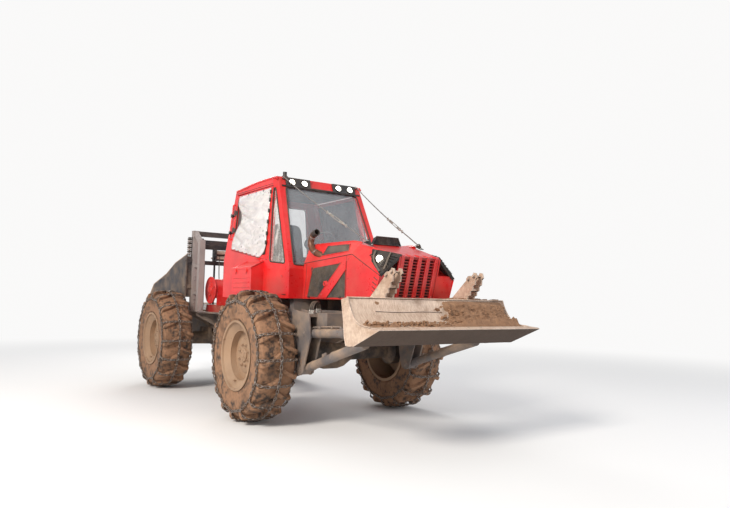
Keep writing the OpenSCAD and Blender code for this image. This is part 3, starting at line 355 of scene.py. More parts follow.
def glowing(name, colour, strength):
    """A lit lamp's lens, whose glow is uneven as its cells are."""
    n = Nodes(name)
    cells = n.step(n.cells(90), 0.0, 0.7, 1.0, 0.85)
    n.set(Base_Color=n.mix(cells, srgb(225, 222, 214), colour))
    n.set(Emission_Color=n.mix(cells, srgb(255, 240, 214), colour), Emission_Strength=strength)
    n.set(Roughness=0.12)
    return n.material


def loose_earth():
    """Loose forest soil with bits of leaf."""
    n = Nodes("earth")
    soil = n.mix(n.noise(18, 8, 0.7), srgb(98, 66, 46), srgb(188, 146, 112))
    leaves = n.step(n.cells(70), 0.16, 0.2, 1.0, 0.0)
    leaves = n.times(leaves, n.step(n.noise(9, 3), 0.5, 0.56))
    n.set(Base_Color=n.mix(leaves, soil, srgb(168, 112, 66)), Roughness=0.95)
    n.set(Normal=n.bump(n.noise(55, 8, 0.75), 0.02, 0.9))
    return n.material


def milky_film():
    """Milky plastic film: whitish, wrinkled, with dirty splashes."""
    n = Nodes("milky_pane")
    wrinkles = n.noise(6, 6, 0.6, n.scaled((0.8, 1.0, 1.7)), 1.2)
    white = n.mix(n.step(wrinkles, 0.35, 0.65), srgb(226, 213, 209), srgb(212, 198, 195))
    stains = n.times(n.step(n.cells(16), 0.1, 0.3, 0.8, 0.0), n.step(n.noise(3, 4), 0.5, 0.6))
    n.set(Base_Color=n.mix(stains, white, srgb(96, 84, 78)), Roughness=0.32, Transmission_Weight=0.0)
    n.set(Subsurface_Weight=0.15, Alpha=n.step(wrinkles, 0.3, 0.7, 0.97, 0.86), Coat_Weight=0.4)
    n.set(Normal=n.bump(wrinkles, 0.004, 0.4))
    n.material.surface_render_method = "BLENDED"
    return n.material


# Shapes that the pieces are made of


def frame_of(axis):
    """Two unit vectors square to axis and to each other."""
    axis = Vector(axis).normalized()
    helper = Vector((0, 0, 1)) if abs(axis.z) < 0.9 else Vector((1, 0, 0))
    first = axis.cross(helper).normalized()
    return first, axis.cross(first).normalized()


def around(count, start=0.0):
    """Angles spread evenly over a circle."""
    return [2 * math.pi * (k + start) / count for k in range(count)]


def on_circle(angle, first, second):
    """The unit vector at an angle from first towards second."""
    return math.cos(angle) * first + math.sin(angle) * second


def square_up(run):
    """The direction that points up square to a run along the machine."""
    up = Vector((0, 1, 0)).cross(run)
    return up if up.z > 0 else -up


def side_name(side):
    return "left" if side > 0 else "right"


def near(origin, *shifts):
    """The points at some shifts from origin."""
    return [origin + Vector(shift) for shift in shifts]


class Piece:
    """Collects the faces of one piece, then makes its object."""

    def __init__(self):
        self.verts = []
        self.faces = []
        self.kinds = []
        self.kind = 0

    def add(self, verts, faces):
        first = len(self.verts)
        self.verts += [Vector(v) for v in verts]
        self.faces += [tuple(first + i for i in face) for face in faces]
        self.kinds += [self.kind] * len(faces)

    def rings(self, rings, closed_ring=True, closed_path=False, capped=True):
        """Skin over rings that have the same number of points."""
        count = len(rings[0])
        verts = [v for ring in rings for v in ring]
        faces = []
        for i in range(len(rings) if closed_path else len(rings) - 1):
            a, b = i * count, (i + 1) % len(rings) * count
            for j in range(count if closed_ring else count - 1):
                k = (j + 1) % count
                faces.append((a + j, a + k, b + k, b + j))
        if capped and closed_ring and not closed_path:
            faces.append(tuple(reversed(range(count))))
            faces.append(tuple(range(len(verts) - count, len(verts))))
        self.add(verts, faces)

    def solid(self, points):
        """The smallest convex solid round the points."""
        shape = bmesh.new()
        for p in points:
            shape.verts.new(p)
        bmesh.ops.convex_hull(shape, input=shape.verts)
        bmesh.ops.delete(shape, geom=[v for v in shape.verts if not v.link_faces], context="VERTS")
        shape.verts.index_update()
        self.add([v.co.copy() for v in shape.verts], [[v.index for v in f.verts] for f in shape.faces])
        shape.free()

    def box(self, low, high, chamfer=0.003, turn=None):
        """A block with chamfered edges. turn is a matrix applied to it."""
        low, high = Vector(low), Vector(high)
        points = []
        for corner in range(8):
            signs = [1 if corner >> k & 1 else -1 for k in range(3)]
            for inner in range(3):
                p = [high[k] if signs[k] > 0 else low[k] for k in range(3)]
                for k in range(3):
                    if k != inner:
                        p[k] -= signs[k] * chamfer
                points.append(turn @ Vector(p) if turn else Vector(p))
        self.solid(points)

    def rod(self, a, b, radius, sides=16, chamfer=None, end_radius=None):
        """A round bar, or a cone with end_radius, with chamfered ends."""
        a, b = Vector(a), Vector(b)
        axis = b - a
        first, second = frame_of(axis)
        end_radius = radius if end_radius is None else end_radius
        chamfer = min(radius, end_radius, axis.length / 2) * 0.2 if chamfer is None else chamfer
        unit = axis.normalized()
        rings = []
        for place, r in (
            (a, radius - chamfer), (a + chamfer * unit, radius), (b - chamfer * unit, end_radius),
            (b, end_radius - chamfer),
        ):
            rings.append([place + r * on_circle(t, first, second) for t in around(sides)])
        self.rings(rings)

    def bolt(self, place, axis, size=0.012, height=0.008):
        """A hexagon head on a washer."""
        place, axis = Vector(place), Vector(axis).normalized()
        self.rod(place, place + 0.25 * height * axis, size * 1.15, 12, 0.0004)
        self.rod(place, place + height * axis, size, 6, size * 0.14)

    def tube(self, points, radius, sides=10, steps=6, closed=False, wall=0):
        """A round tube along a smooth curve through the points. radius is a number or one for each point.

        With wall the tube is open at its ends and as thick as that.
        """
        route, radii = smooth_route(points, radius, steps, closed)
        rings, bore, side = [], [], None
        for i, p in enumerate(route):
            before = route[i - 1] if i or closed else p
            after = route[(i + 1) % len(route)] if i + 1 < len(route) or closed else p
            ahead = (after - before).normalized()
            if side is None:
                side = frame_of(ahead)[0]
            side = (side - ahead * side.dot(ahead)).normalized()
            other = ahead.cross(side)
            spokes = [on_circle(t, side, other) for t in around(sides)]
            rings.append([p + radii[i] * s for s in spokes])
            bore.append([p + (radii[i] - wall) * s for s in spokes])
        if wall:
            self.rings(rings + bore[::-1], closed_path=True)
        else:
            self.rings(rings, closed_path=closed)

    def ring(self, centre, axis, radius, wire, count=40, sides=10):
        first, second = frame_of(axis)
        points = [Vector(centre) + radius * on_circle(t, first, second) for t in around(count)]
        self.tube(points, wire, sides, 1, True)

    def revolve(self, profile, centre, axis, count=64, closed=True):
        """profile is a list of (radius, place along axis)."""
        centre, axis = Vector(centre), Vector(axis).normalized()
        a, b = frame_of(axis)
        rings = []
        for t in around(count):
            out = on_circle(t, a, b)
            rings.append([centre + r * out + along * axis for r, along in profile])
        self.rings(rings, closed_ring=closed, closed_path=True)

    def plate(self, outline, thickness):
        """A flat plate. outline is a list of points in one plane, thickness a vector."""
        thickness = Vector(thickness)
        rings = [[Vector(p) for p in outline], [Vector(p) + thickness for p in outline]]
        self.rings(rings)

    def make(self, name, body, slot, material=None, smooth=35, bevel=None, replaces=()):
        """The piece as an object that rides on body, in its slot's finish unless material names its own."""
        mesh = bpy.data.meshes.new(name)
        mesh.from_pydata([tuple(v) for v in self.verts], [], self.faces)
        mesh.validate()
        finish = material or MATERIALS[slot]
        for one in finish if isinstance(finish, list) else [finish]:
            mesh.materials.append(one)
        mesh.polygons.foreach_set("material_index", self.kinds)
        shape = bmesh.new()
        shape.from_mesh(mesh)
        bmesh.ops.recalc_face_normals(shape, faces=shape.faces)
        shape.to_mesh(mesh)
        shape.free()
        piece = bpy.data.objects.new(name, mesh)
        bpy.context.scene.collection.objects.link(piece)
        mesh.shade_smooth()
        mesh.set_sharp_from_angle(angle=math.radians(smooth))
        if bevel:
            rounded = piece.modifiers.new("bevel", "BEVEL")
            rounded.width = bevel
            rounded.segments = 2
            rounded.limit_method = "ANGLE"
            rounded.angle_limit = math.radians(40)
        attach(piece, body)
        if replaces:
            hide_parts(*replaces)
        return piece


def smooth_route(points, radius, steps, closed):
    """The points and radii of a smooth curve through the given points."""
    points = [Vector(p) for p in points]
    radii = [radius] * len(points) if isinstance(radius, (int, float)) else list(radius)
    if steps < 2:
        return points, radii
    count = len(points)
    route, sizes = [], []
    for i in range(count if closed else count - 1):
        near = [
            points[(i + k) % count] if closed else points[min(max(i + k, 0), count - 1)]
            for k in (-1, 0, 1, 2)
        ]
        a, b, c, d = near
        for s in range(steps):
            t = s / steps
            route.append(0.5 * (2 * b + (c - a) * t + (2 * a - 5 * b + 4 * c - d) * t ** 2
                                + (3 * b - a - 3 * c + d) * t ** 3))
            sizes.append(radii[i] + (radii[(i + 1) % count] - radii[i]) * t)
    if not closed:
        route.append(points[-1])
        sizes.append(radii[-1])
    return route, sizes


# Finishes

# Each paint's name, colour, roughness, dust, mud, wear and the height where the mud ends
PAINTS = (
    ("red_paint", (226, 30, 32), 0.3, 0.24, 0.6, 0.5, 1.8),
    ("deep_red_paint", (176, 20, 24), 0.42, 0.35, 0.6, 0.8, 2.1),
    ("frame_paint", (104, 98, 97), 0.5, 0.6, 0.9, 0.8, 2.0),
    ("black_paint", (26, 25, 27), 0.4, 0.3, 0.5, 0.4, 1.8),
    ("shield_paint", (46, 48, 56), 0.45, 0.5, 1.0, 0.7, 3.6),
    ("tower_paint", (160, 149, 146), 0.45, 0.35, 0.4, 0.9, 2.0),
    ("cast_dark", (60, 56, 55), 0.6, 0.6, 0.9, 0.6, 2.2),
    ("rim_paint", (160, 128, 100), 0.62, 0.35, 1.6, 0.3, 3.0),
    ("black_mesh", (30, 29, 30), 0.5, 0.4, 0.4, 0.3, 1.9),
)
PAINT_EXTRAS = {"red_paint": {"coat": 0.35}, "tower_paint": {"middle": srgb(40, 38, 42)}}

# Each steel's name, bright and dark colour, rust, mud, scale, metallic share and painted shade on what faces
# down
STEELS = (
    ("rusty_steel", (128, 84, 60), (74, 48, 38), 0.9, 0.1, 1.6, 0.35, 0.0),
    ("worn_steel", (222, 200, 178), (186, 156, 136), 0.22, 0.4, 1.0, 0.25, 0.95),
    ("chain_steel", (128, 112, 98), (52, 42, 36), 0.45, 0.35, 5.0, 0.6, 0.0),
)

# Each moulded finish's name, colour, roughness, metallic share, grain, spread and dust
MOULDED = (
    ("bright_rod", (190, 190, 194), 0.14, 1.0, 60, 0.1, 0.15),
    ("seat_fabric", (34, 34, 38), 0.85, 0.0, 480, 0.5, 0.2),
    ("dark_plastic", (30, 30, 32), 0.5, 0.0, 300, 0.4, 0.25),
    ("hose_rubber", (24, 23, 24), 0.55, 0.0, 400, 0.4, 0.45),
)
MATERIALS = {
    "tyre_rubber": muddy_rubber(),
    "window_glass": glass("window_glass", srgb(206, 214, 220), 0.16),
    "milky_pane": milky_film(),
}
for name, colour, *rest in PAINTS:
    MATERIALS[name] = painted(name, srgb(*colour), *rest, **PAINT_EXTRAS.get(name, {}))
for name, bright, dark, *rest in STEELS:
    MATERIALS[name] = worn_steel(name, srgb(*bright), srgb(*dark), *rest)
for name, colour, *rest in MOULDED:
    MATERIALS[name] = plain(name, srgb(*colour), *rest)

EARTH = loose_earth()
CONSOLE = plain("console_beige", srgb(178, 160, 138), 0.6, 0.0, 300, 0.15, 0.3)
LAMP_GLOW = glowing("lamp_glow", srgb(255, 250, 236), 5.0)
LENS = glass("lamp_lens", srgb(240, 242, 244), 0.2)
DOOR_GLASS = plain("door_glass", srgb(66, 58, 62), 0.25, 0.0, 200, 0.3, 0.5)
SEAL = plain("rubber_seal", srgb(20, 20, 21), 0.6, 0.0, 300, 0.4, 0.3)
ROPE = worn_steel("wire_rope", srgb(128, 122, 118), srgb(62, 56, 52), 0.25, 0.15, 12.0, 0.7)
SLOTS = {row["node"]: row["material_slot"] for row in frame["record"]["subparts"]}


def paint_cad_nodes():
    """Gives each CAD node that stays in view the finish of its material slot, or its own one."""
    own = {"door_pane_left": DOOR_GLASS, "door_pane_right": DOOR_GLASS, "winch_drum": MATERIALS["red_paint"]}
    for name, node in NODES.items():
        node.data.materials.clear()
        node.data.materials.append(own.get(name, MATERIALS[SLOTS[name]]))


# Wheels

TYRE_R = 0.746
TYRE_STEPS = 120
TREAD_R = 0.698
LUG_COUNT = 16
LUG_TOP = 0.021
LUG_ROOT = 0.031
CHAIN_COUNT = 16
CHAIN_STEPS = 144
CHAIN_R = 0.7475
CHAIN_SIDE_R = 0.622
CHAIN_W = 0.2305
LINK_PITCH = 0.047
LINK_WIRE = 0.0072
LINK_WIDTH = 0.037
LINK_LEAN = math.radians(27)
WHEELS = [("front", "left"), ("front", "right"), ("rear", "left"), ("rear", "right")]


def wheel_place(end, side):
    """A function that turns (angle, distance outwards, radius) on a wheel into a point."""
    x = FRONT_X if end == "front" else REAR_X
    sign = 1 if side == "left" else -1

    def place(angle, out, radius):
        return Vector((
            x + radius * math.sin(angle), sign * (HALF_TRACK + out), AXLE_Z + radius * math.cos(angle)
        ))

    return place


def rough(point, scale, height):
    """A small random shift that depends only on the place."""
    return height * noise.fractal(point * scale, 0.8, 2.0, 3)


def carcass_profile():
    """(radius, distance outwards) round the tyre's section, from the outer bead over the tread."""
    outer = [
        (0.398, 0.192), (0.414, 0.205), (0.428, 0.2085), (0.434, 0.213), (0.441, 0.2125), (0.50, 0.2195),
        (0.56, 0.2215), (0.566, 0.2228), (0.574, 0.2225), (0.62, 0.2195), (0.655, 0.210), (0.680, 0.192),
        (0.692, 0.16), (0.697, 0.11), (0.699, 0.05),
    ]
    inner = [(0.66, 0.1), (0.62, 0.17), (0.45, 0.178), (0.39, 0.165)]
    back = [(r, -w) for r, w in reversed(outer)]
    return outer + [(0.7, 0.0)] + back + [(r, -w) for r, w in reversed(inner)] + inner


def lug_stations():
    """(shift round the wheel, distance outwards, radius) along a lug, from middle to sidewall."""
    return [
        (-0.064, -0.014, 0.742), (-0.058, -0.006, 0.7455), (-0.030, 0.036, 0.746), (-0.004, 0.072, 0.7455),
        (0.018, 0.104, 0.7445), (0.036, 0.144, 0.742), (0.052, 0.184, 0.738), (0.060, 0.208, 0.731),
        (0.063, 0.2195, 0.712), (0.064, 0.2225, 0.67), (0.064, 0.2225, 0.625),
    ]


def add_lug(piece, place, turn, side, seed):
    """One curved lug from the tread's middle down the sidewall, its edges worn a little."""
    stations = lug_stations()
    rings = []
    for i, (shift, out, top) in enumerate(stations):
        before, after = stations[max(i - 1, 0)], stations[min(i + 1, len(stations) - 1)]
        along = Vector((after[0] - before[0], after[1] - before[1], 0))
        if along.length < 0.004 or i > 7:
            along = Vector((0.15, 1, 0))
        across = Vector((along.y, -along.x, 0)).normalized()
        base = min(top - 0.012, TREAD_R - 0.02)
        ring = []
        for half, r in (
            (-LUG_ROOT, base), (-LUG_TOP - 0.002, top - 0.006), (-LUG_TOP + 0.006, top),
            (LUG_TOP - 0.006, top), (LUG_TOP + 0.002, top - 0.006), (LUG_ROOT, base),
        ):
            t = shift + half * across.x
            w = out + half * across.y if i < 8 else out - (0.012 if r == base else 0)
            worn = rough(Vector((turn * 9 + seed, t * 6, w * 6)), 2.2, 0.004) if r > base else 0
            ring.append(place(turn + t / TYRE_R, side * w, min(r + worn - 0.0015, TYRE_R)))
        rings.append(ring)
    piece.rings(rings)


def make_tyre(end, side):
    """The muddy carcass and its two rows of lugs."""
    piece = Piece()
    place = wheel_place(end, side)
    profile = carcass_profile()
    rings = []
    for angle in around(TYRE_STEPS):
        ring = []
        for r, w in profile:
            spot = place(angle, w, r)
            cake = rough(spot, 7.0, 0.006) if r > 0.6 and abs(w) < 0.2 else 0
            ring.append(place(angle, w, r + cake))
        rings.append(ring)
    piece.rings(rings, closed_path=True)
    for i in range(LUG_COUNT):
        for half, shift in ((1, 0.0), (-1, 0.5)):
            add_lug(piece, place, 2 * math.pi * (i + shift) / LUG_COUNT, half, 3 * half)
    piece.make(
        f"tyre_tread_{end}_{side}", f"wheel_{end}_{side}", "tyre_rubber",
        smooth=32, replaces=[f"tyre_{end}_{side}"],
    )


def add_link(piece, middle, along, flat, length, width, wire, sides=6, corners=4):
    """One chain link: a round wire bent to a long loop that lies in the plane of along and flat."""
    along, flat = along.normalized(), flat.normalized()
    straight = (length - width) / 2
    rings = []
    lift = along.cross(flat)
    for end in (1, -1):
        for i in range(corners):
            t = math.pi * i / (corners - 1)
            out = end * (math.cos(t) * flat + math.sin(t) * along)
            centre = middle + end * straight * along + (width / 2 - wire) * out
            rings.append([centre + wire * on_circle(u, out, lift) for u in around(sides)])
    piece.rings(rings, closed_path=True)


def run_lengths(points):
    """The distance along a route at each of its points."""
    lengths = [0.0]
    for a, b in zip(points, points[1:]):
        lengths.append(lengths[-1] + (b - a).length)
    return lengths


def add_chain(piece, route, outward, closed=False):
    """Links along a route, turned in and out by turns. outward(p) points away from the tyre at p."""
    points = route + [route[0]] if closed else route
    lengths = run_lengths(points)
    count = max(2, round(lengths[-1] / LINK_PITCH))
    if closed:
        count += count % 2
    for i in range(count):
        goal = lengths[-1] * (i + 0.5) / count
        k = max(j for j in range(len(lengths) - 1) if lengths[j] <= goal)
        a, b = points[k], points[k + 1]
        middle = a + (b - a) * ((goal - lengths[k]) / max(lengths[k + 1] - lengths[k], 1e-9))
        along = (b - a).normalized()
        out = outward(middle)
        across = along.cross(out).normalized()
        lean = LINK_LEAN if i % 2 else -LINK_LEAN
        flat = math.cos(lean) * across + math.sin(lean) * across.cross(along)
        length = lengths[-1] / count + 2.6 * LINK_WIRE
        add_link(piece, middle, along, flat, length, LINK_WIDTH, LINK_WIRE)


def make_chain(end, side):
    """A middle chain round the tread, a ring chain on each side and the cross chains between them."""
    piece = Piece()
    place = wheel_place(end, side)
    centre = place(0, 0, 0)
    y_out = Vector((0, 1 if side == "left" else -1, 0))
    step = 2 * math.pi / CHAIN_COUNT

    def radial(p):
        return Vector((p.x - centre.x, 0, p.z - centre.z)).normalized()

    turns = around(CHAIN_STEPS)
    add_chain(piece, [place(a, 0, CHAIN_R) for a in turns], radial, True)
    for half in (1, -1):
        ring = []
        for a in turns:
            off = (a + step / 2) % step - step / 2
            ring.append(place(a, half * CHAIN_W, CHAIN_SIDE_R / math.cos(step / 2 - abs(off))))
        add_chain(piece, ring, lambda p: half * y_out, True)
        for i in range(CHAIN_COUNT):
            angle = i * step
            route = [
                place(angle, half * CHAIN_W, CHAIN_SIDE_R / math.cos(step / 2) + 0.012),
                place(angle, half * 0.228, 0.662), place(angle, half * 0.215, 0.695),
                place(angle, half * 0.194, 0.716), place(angle, half * 0.166, 0.730),
                place(angle, half * 0.131, 0.741), place(angle, half * 0.095, CHAIN_R),
                place(angle, half * 0.014, CHAIN_R),
            ]
            add_chain(piece, route, lambda p: (radial(p) + 0.4 * half * y_out).normalized())
    piece.make(
        f"chain_links_{end}_{side}", f"wheel_{end}_{side}", "chain_steel",
        smooth=60, replaces=[f"chain_{end}_{side}"],
    )


def make_rim_details(end, side):
    """Wheel nuts, the hub cap, the dish's weld ring and the valve."""
    piece = Piece()
    place = wheel_place(end, side)
    out = (place(0, 1, 0) - place(0, 0, 0)).normalized()
    for angle in around(8, 0.5):
        piece.bolt(place(angle, 0.0965, 0.122), out, 0.0165, 0.02)
        piece.rod(place(angle, 0.11, 0.122), place(angle, 0.127, 0.122), 0.0085, 10)
    piece.rod(place(0, 0.09, 0), place(0, 0.116, 0), 0.078, 40, 0.006)
    piece.rod(place(0, 0.112, 0), place(0, 0.124, 0), 0.03, 24, 0.004)
    for angle in around(6):
        piece.bolt(place(angle, 0.1155, 0.055), out, 0.008, 0.007)
    piece.ring(place(0, 0.0715, 0), out, 0.2, 0.006, 64, 8)
    piece.ring(place(0, 0.143, 0), out, 0.2885, 0.006, 80, 8)
    low = math.pi + 0.25
    piece.rod(place(low, 0.12, 0.31), place(low, 0.172, 0.305), 0.007, 10)
    piece.rod(place(low, 0.165, 0.3055), place(low, 0.19, 0.303), 0.0095, 10)
    piece.make(f"rim_fittings_{end}_{side}", f"wheel_{end}_{side}", "rim_paint", smooth=40)


for end, side in WHEELS:
    make_tyre(end, side)
    make_chain(end, side)
    make_rim_details(end, side)


# Hood

HOOD_Y = 510
MESH_PITCH = 0.013
MESH_WIRE = 0.0017


def hood_side(side, inset=0):
    """A function that puts a point (x, z) in millimetres on the hood's upright side."""
    return lambda x, z: at(x, side * (HOOD_Y - inset), z)


def crossings(outline, level, axis):
    """Where the line at a level of one axis enters and leaves a convex outline."""
    found = []
    for (a, b) in zip(outline, outline[1:] + outline[:1]):
        if (a[axis] - level) * (b[axis] - level) < 0:
            t = (level - a[axis]) / (b[axis] - a[axis])
            found.append(a[1 - axis] + t * (b[1 - axis] - a[1 - axis]))
    return sorted(found)


def add_mesh(piece, outline, place, pitch=MESH_PITCH, wire=MESH_WIRE):
    """Crossed wires over an outline given in millimetres."""
    for axis in (0, 1):
        low = min(p[axis] for p in outline)
        high = max(p[axis] for p in outline)
        level = low + pitch * 500
        while level < high:
            ends = crossings(outline, level, axis)
            if len(ends) == 2:
                a, b = [(level, e) if axis == 0 else (e, level) for e in ends]
                piece.rod(place(*a), place(*b), wire, 4, 0)
            level += pitch * 1000


def add_frame_strip(piece, outline, place, width, height):
    """A raised rim round an opening, width wide and height proud of place."""
    middle = (sum(p[0] for p in outline) / len(outline), sum(p[1] for p in outline) / len(outline))
    points = [place(*p) for p in outline]
    inner = [place(*[c + (m - c) * width / 100 for c, m in zip(p, middle)]) for p in outline]
    normal = (points[1] - points[0]).cross(points[2] - points[1]).normalized()
    if normal.y * points[0].y < 0:
        normal = -normal
    for i in range(len(points)):
        k = (i + 1) % len(points)
        quad = [points[i], points[k], inner[k], inner[i]]
        piece.solid(quad + [p + height * normal for p in quad])


# Windows with wire mesh in a hood side, each as points (x, z), and the brace that parts them
MESH_REAR = [(282, 1452), (341, 1640), (394, 1776), (430, 1797), (1068, 1838), (596, 1494), (531, 1446)]
MESH_FRONT = [(1106, 1757), (1110, 1446), (722, 1446)]
BRACE = [(1040, 1846), (1112, 1852), (1112, 1758), (722, 1444), (528, 1444), (596, 1494)]
# The raised shoulder: (x, half width, height) along its top edge
SHOULDER_TOP = [(181, 420, 2085), (640, 414, 2085), (1100, 402, 2080), (1214, 371, 2059)]
# Its mesh window, as (x, share of the way up)
MESH_SHOULDER = [(566, 0.23), (607, 0.82), (1060, 0.79), (1112, 0.27)]
SIDE_SKIN = [(1122, 1443), (1646, 1443), (1726, 1672), (1222, 1912), (1122, 1906)]


def shoulder_low(x):
    return 1857 + (x - 180.3) * 65 / 1033.7


def shoulder_high(x):
    for a, b in zip(SHOULDER_TOP, SHOULDER_TOP[1:]):
        if x <= b[0]:
            t = (x - a[0]) / (b[0] - a[0])
            return a[1] + (b[1] - a[1]) * t, a[2] + (b[2] - a[2]) * t
    return SHOULDER_TOP[-1][1:]


def raised_shoulder(side, out=0.0):
    """A function that puts a point (x, share of the way up) on the raised shoulder."""

    def place(x, t):
        y, z = shoulder_high(x)
        low = shoulder_low(x)
        lean = Vector((0, z - low, HOOD_Y - y)).normalized()
        return at(x, side * (HOOD_Y + (y - HOOD_Y) * t + out * lean.y), low + (z - low) * t + out * lean.z)

    return place


def corner_face(side):
    """A function that puts (x, z) on the headlight's facet, and the facet's outward direction."""
    a, b, c = at(1214, 510, 1922), at(1764, 255, 1900), at(1733, 510, 1674)
    normal = (c - a).cross(b - a).normalized()
    if normal.y < 0:
        normal = -normal

    def place(x, z, out=0.0):
        p = at(x, 0, z)
        y = a.y - (normal.x * (p.x - a.x) + normal.z * (p.z - a.z)) / normal.y
        spot = Vector((p.x, y, p.z)) + out * normal
        return Vector((spot.x, side * spot.y, spot.z))

    return place, Vector((normal.x, side * normal.y, normal.z))


def make_shoulders():
    """The hood's raised shoulders beside the ridge, and the folded edge along each."""
    skin, folds = Piece(), Piece()
    for side in (1, -1):
        rings = []
        for x in (181, 300, 640, 880, 1100, 1214):
            low = shoulder_low(x)
            y, z = shoulder_high(x)
            inner_y, inner_z = 277 + (x - 180) * 93 / 1034, 2082 - (x - 180) * 26 / 1067
            section = [
                (510.5, low), (y, z), (y - 8, z + 2), (inner_y - 3, inner_z + 2.5), (inner_y, inner_z - 2),
                (508, low - 1),
            ]
            rings.append([at(x, side * y, z) for y, z in section])
        skin.rings(rings)
        place = raised_shoulder(side, 2)
        folds.tube([place(x, 1.0) for x in (184, 640, 1100, 1210)], 0.004, 8, 1)
    skin.make("hood_shoulders", "front", "red_paint", smooth=12, bevel=0.004)
    folds.make("hood_folds", "front", "red_paint", smooth=60)


def make_hood_meshes():
    """Dusty screens, their wires and frames, and the slanting brace with its bracket."""
    wires, backs, rims, braces = Piece(), Piece(), Piece(), Piece()
    for side in (1, -1):
        out = Vector((0, side, 0))
        for outline in (MESH_REAR, MESH_FRONT):
            flat = hood_side(side, -3)
            backs.plate([hood_side(side, 4)(*p) for p in outline], 0.006 * out)
            add_mesh(wires, outline, flat)
            add_frame_strip(rims, outline, hood_side(side, 0), 2.6, 0.007)
        flat = hood_side(side)
        braces.plate([flat(*p) for p in BRACE], 0.009 * out)
        for low, high in (((528, 1444), (1040, 1846)), ((722, 1444), (1112, 1758))):
            braces.tube([flat(*low) + 0.009 * out, flat(*high) + 0.009 * out], 0.005, 8, 1)
        # Holed bracket that the hood's stay clips into
        eye = flat(688, 1606) + 0.009 * out
        braces.ring(eye, out, 0.024, 0.008, 24, 8)
        braces.plate(
            [flat(x, z) + 0.006 * out for x, z in ((700, 1580), (762, 1600), (728, 1642), (690, 1632))],
            0.008 * out,
        )
        for x, z in ((610, 1480), (830, 1640), (1070, 1816)):
            braces.bolt(flat(x, z) + 0.009 * out, out, 0.009, 0.006)
        place = raised_shoulder(side, 4)
        backs.rings([
            [place(*p) for p in MESH_SHOULDER], [raised_shoulder(side, -2)(*p) for p in MESH_SHOULDER]
        ])
        for count, edges in ((34, ((0, 3), (1, 2))), (11, ((0, 1), (3, 2)))):
            for k in range(1, count):
                ends = []
                for i, j in edges:
                    along = zip(MESH_SHOULDER[i], MESH_SHOULDER[j])
                    ends.append(place(*[a + (b - a) * k / count for a, b in along]))
                wires.rod(*ends, MESH_WIRE, 4, 0)
        place = raised_shoulder(side, 5)
        rims.tube([place(*p) for p in MESH_SHOULDER], 0.0045, 8, 1, True)
    wires.make("hood_wire_mesh", "front", "black_mesh", smooth=60)
    backs.make("hood_dust_screens", "front", "black_mesh", DUSTY_SCREEN)
    rims.make("hood_mesh_frames", "front", "red_paint", bevel=0.001)
    braces.make("hood_braces", "front", "red_paint", bevel=0.0015)


# Louvres near the nose: the upper rear and lower front end of each, as (x, z)
LOUVRES = [
    ((1632, 1674), (1694, 1638)), ((1612, 1624), (1682, 1587)), ((1604, 1580), (1666, 1543)),
    ((1602, 1538), (1656, 1507)), ((1600, 1500), (1636, 1476)),
]


def make_side_skins():
    """The sheet on the hood's side near the nose, with five louvres and a near-black strip of painted shade
    under each louvre's lip.
    """
    skins, slot_shade, lips = Piece(), Piece(), Piece()
    for side in (1, -1):
        out = Vector((0, side, 0))
        flat = hood_side(side)
        skins.plate([flat(*p) for p in SIDE_SKIN], 0.003 * out)
        for (x0, z0), (x1, z1) in LOUVRES:
            edge = [(x0, z0), (x1, z1), (x1 - 4, z1 - 13), (x0 - 4, z0 - 13)]
            # Near-black strip under the lip where the opening is: painted shade
            slot_shade.plate([flat(*p) + 0.0028 * out for p in edge], 0.0012 * out)
            lips.solid(
                [flat(x, z) + 0.003 * out for x, z in ((x0, z0 + 7), (x1, z1 + 7), (x1, z1), (x0, z0))]
                + [flat(x0, z0) + 0.0095 * out, flat(x1, z1) + 0.0095 * out]
            )
    skins.make("hood_side_skins", "front", "red_paint", bevel=0.001)
    slot_shade.make("hood_louvre_slot_shade", "front", "black_paint", SEAL)
    lips.make("hood_louvre_lips", "front", "red_paint", bevel=0.0008)


def make_intake():
    """The air intake on the ridge: a tapered hood with a mesh front and screws."""
    piece = Piece()
    stations = [(1000, 110, 96, 2061, 2074), (1096, 176, 140, 2058, 2130), (1166, 196, 154, 2057, 2143)]
    rings = [
        [at(x, y, z) for y, z in ((-low, z0), (-high, z1), (high, z1), (low, z0))]
        for x, low, high, z0, z1 in stations
    ]
    piece.rings(rings)
    x, low, high, z0, z1 = stations[-1]
    frame_points = [at(x + 6, y, z) for y, z in ((-low, z0), (-high, z1), (high, z1), (low, z0))]
    piece.tube(frame_points, 0.006, 8, 1, True)
    for level in range(1, 12):
        t = level / 12
        z, half = z0 + (z1 - z0) * t, low + (high - low) * t
        piece.rod(at(x + 5, -half, z), at(x + 5, half, z), 0.0018, 4, 0)
    for row in range(1, 30):
        y = -low + 2 * low * row / 30
        top = z0 + (z1 - z0) * min(1.0, (low - abs(y)) / (low - high))
        piece.rod(at(x + 6.5, y, z0), at(x + 6.5, y, top), 0.0018, 4, 0)
    piece.box(at(x + 1, -5, z0), at(x + 10, 5, z1), 0.001)
    for i in range(6):
        piece.bolt(at(1140, -130 + 52 * i, 2138), (-0.2, 0, 1), 0.0065, 0.004)
    piece.make("intake_box", "front", "black_mesh", bevel=0.0015, replaces=["hood_screens"])


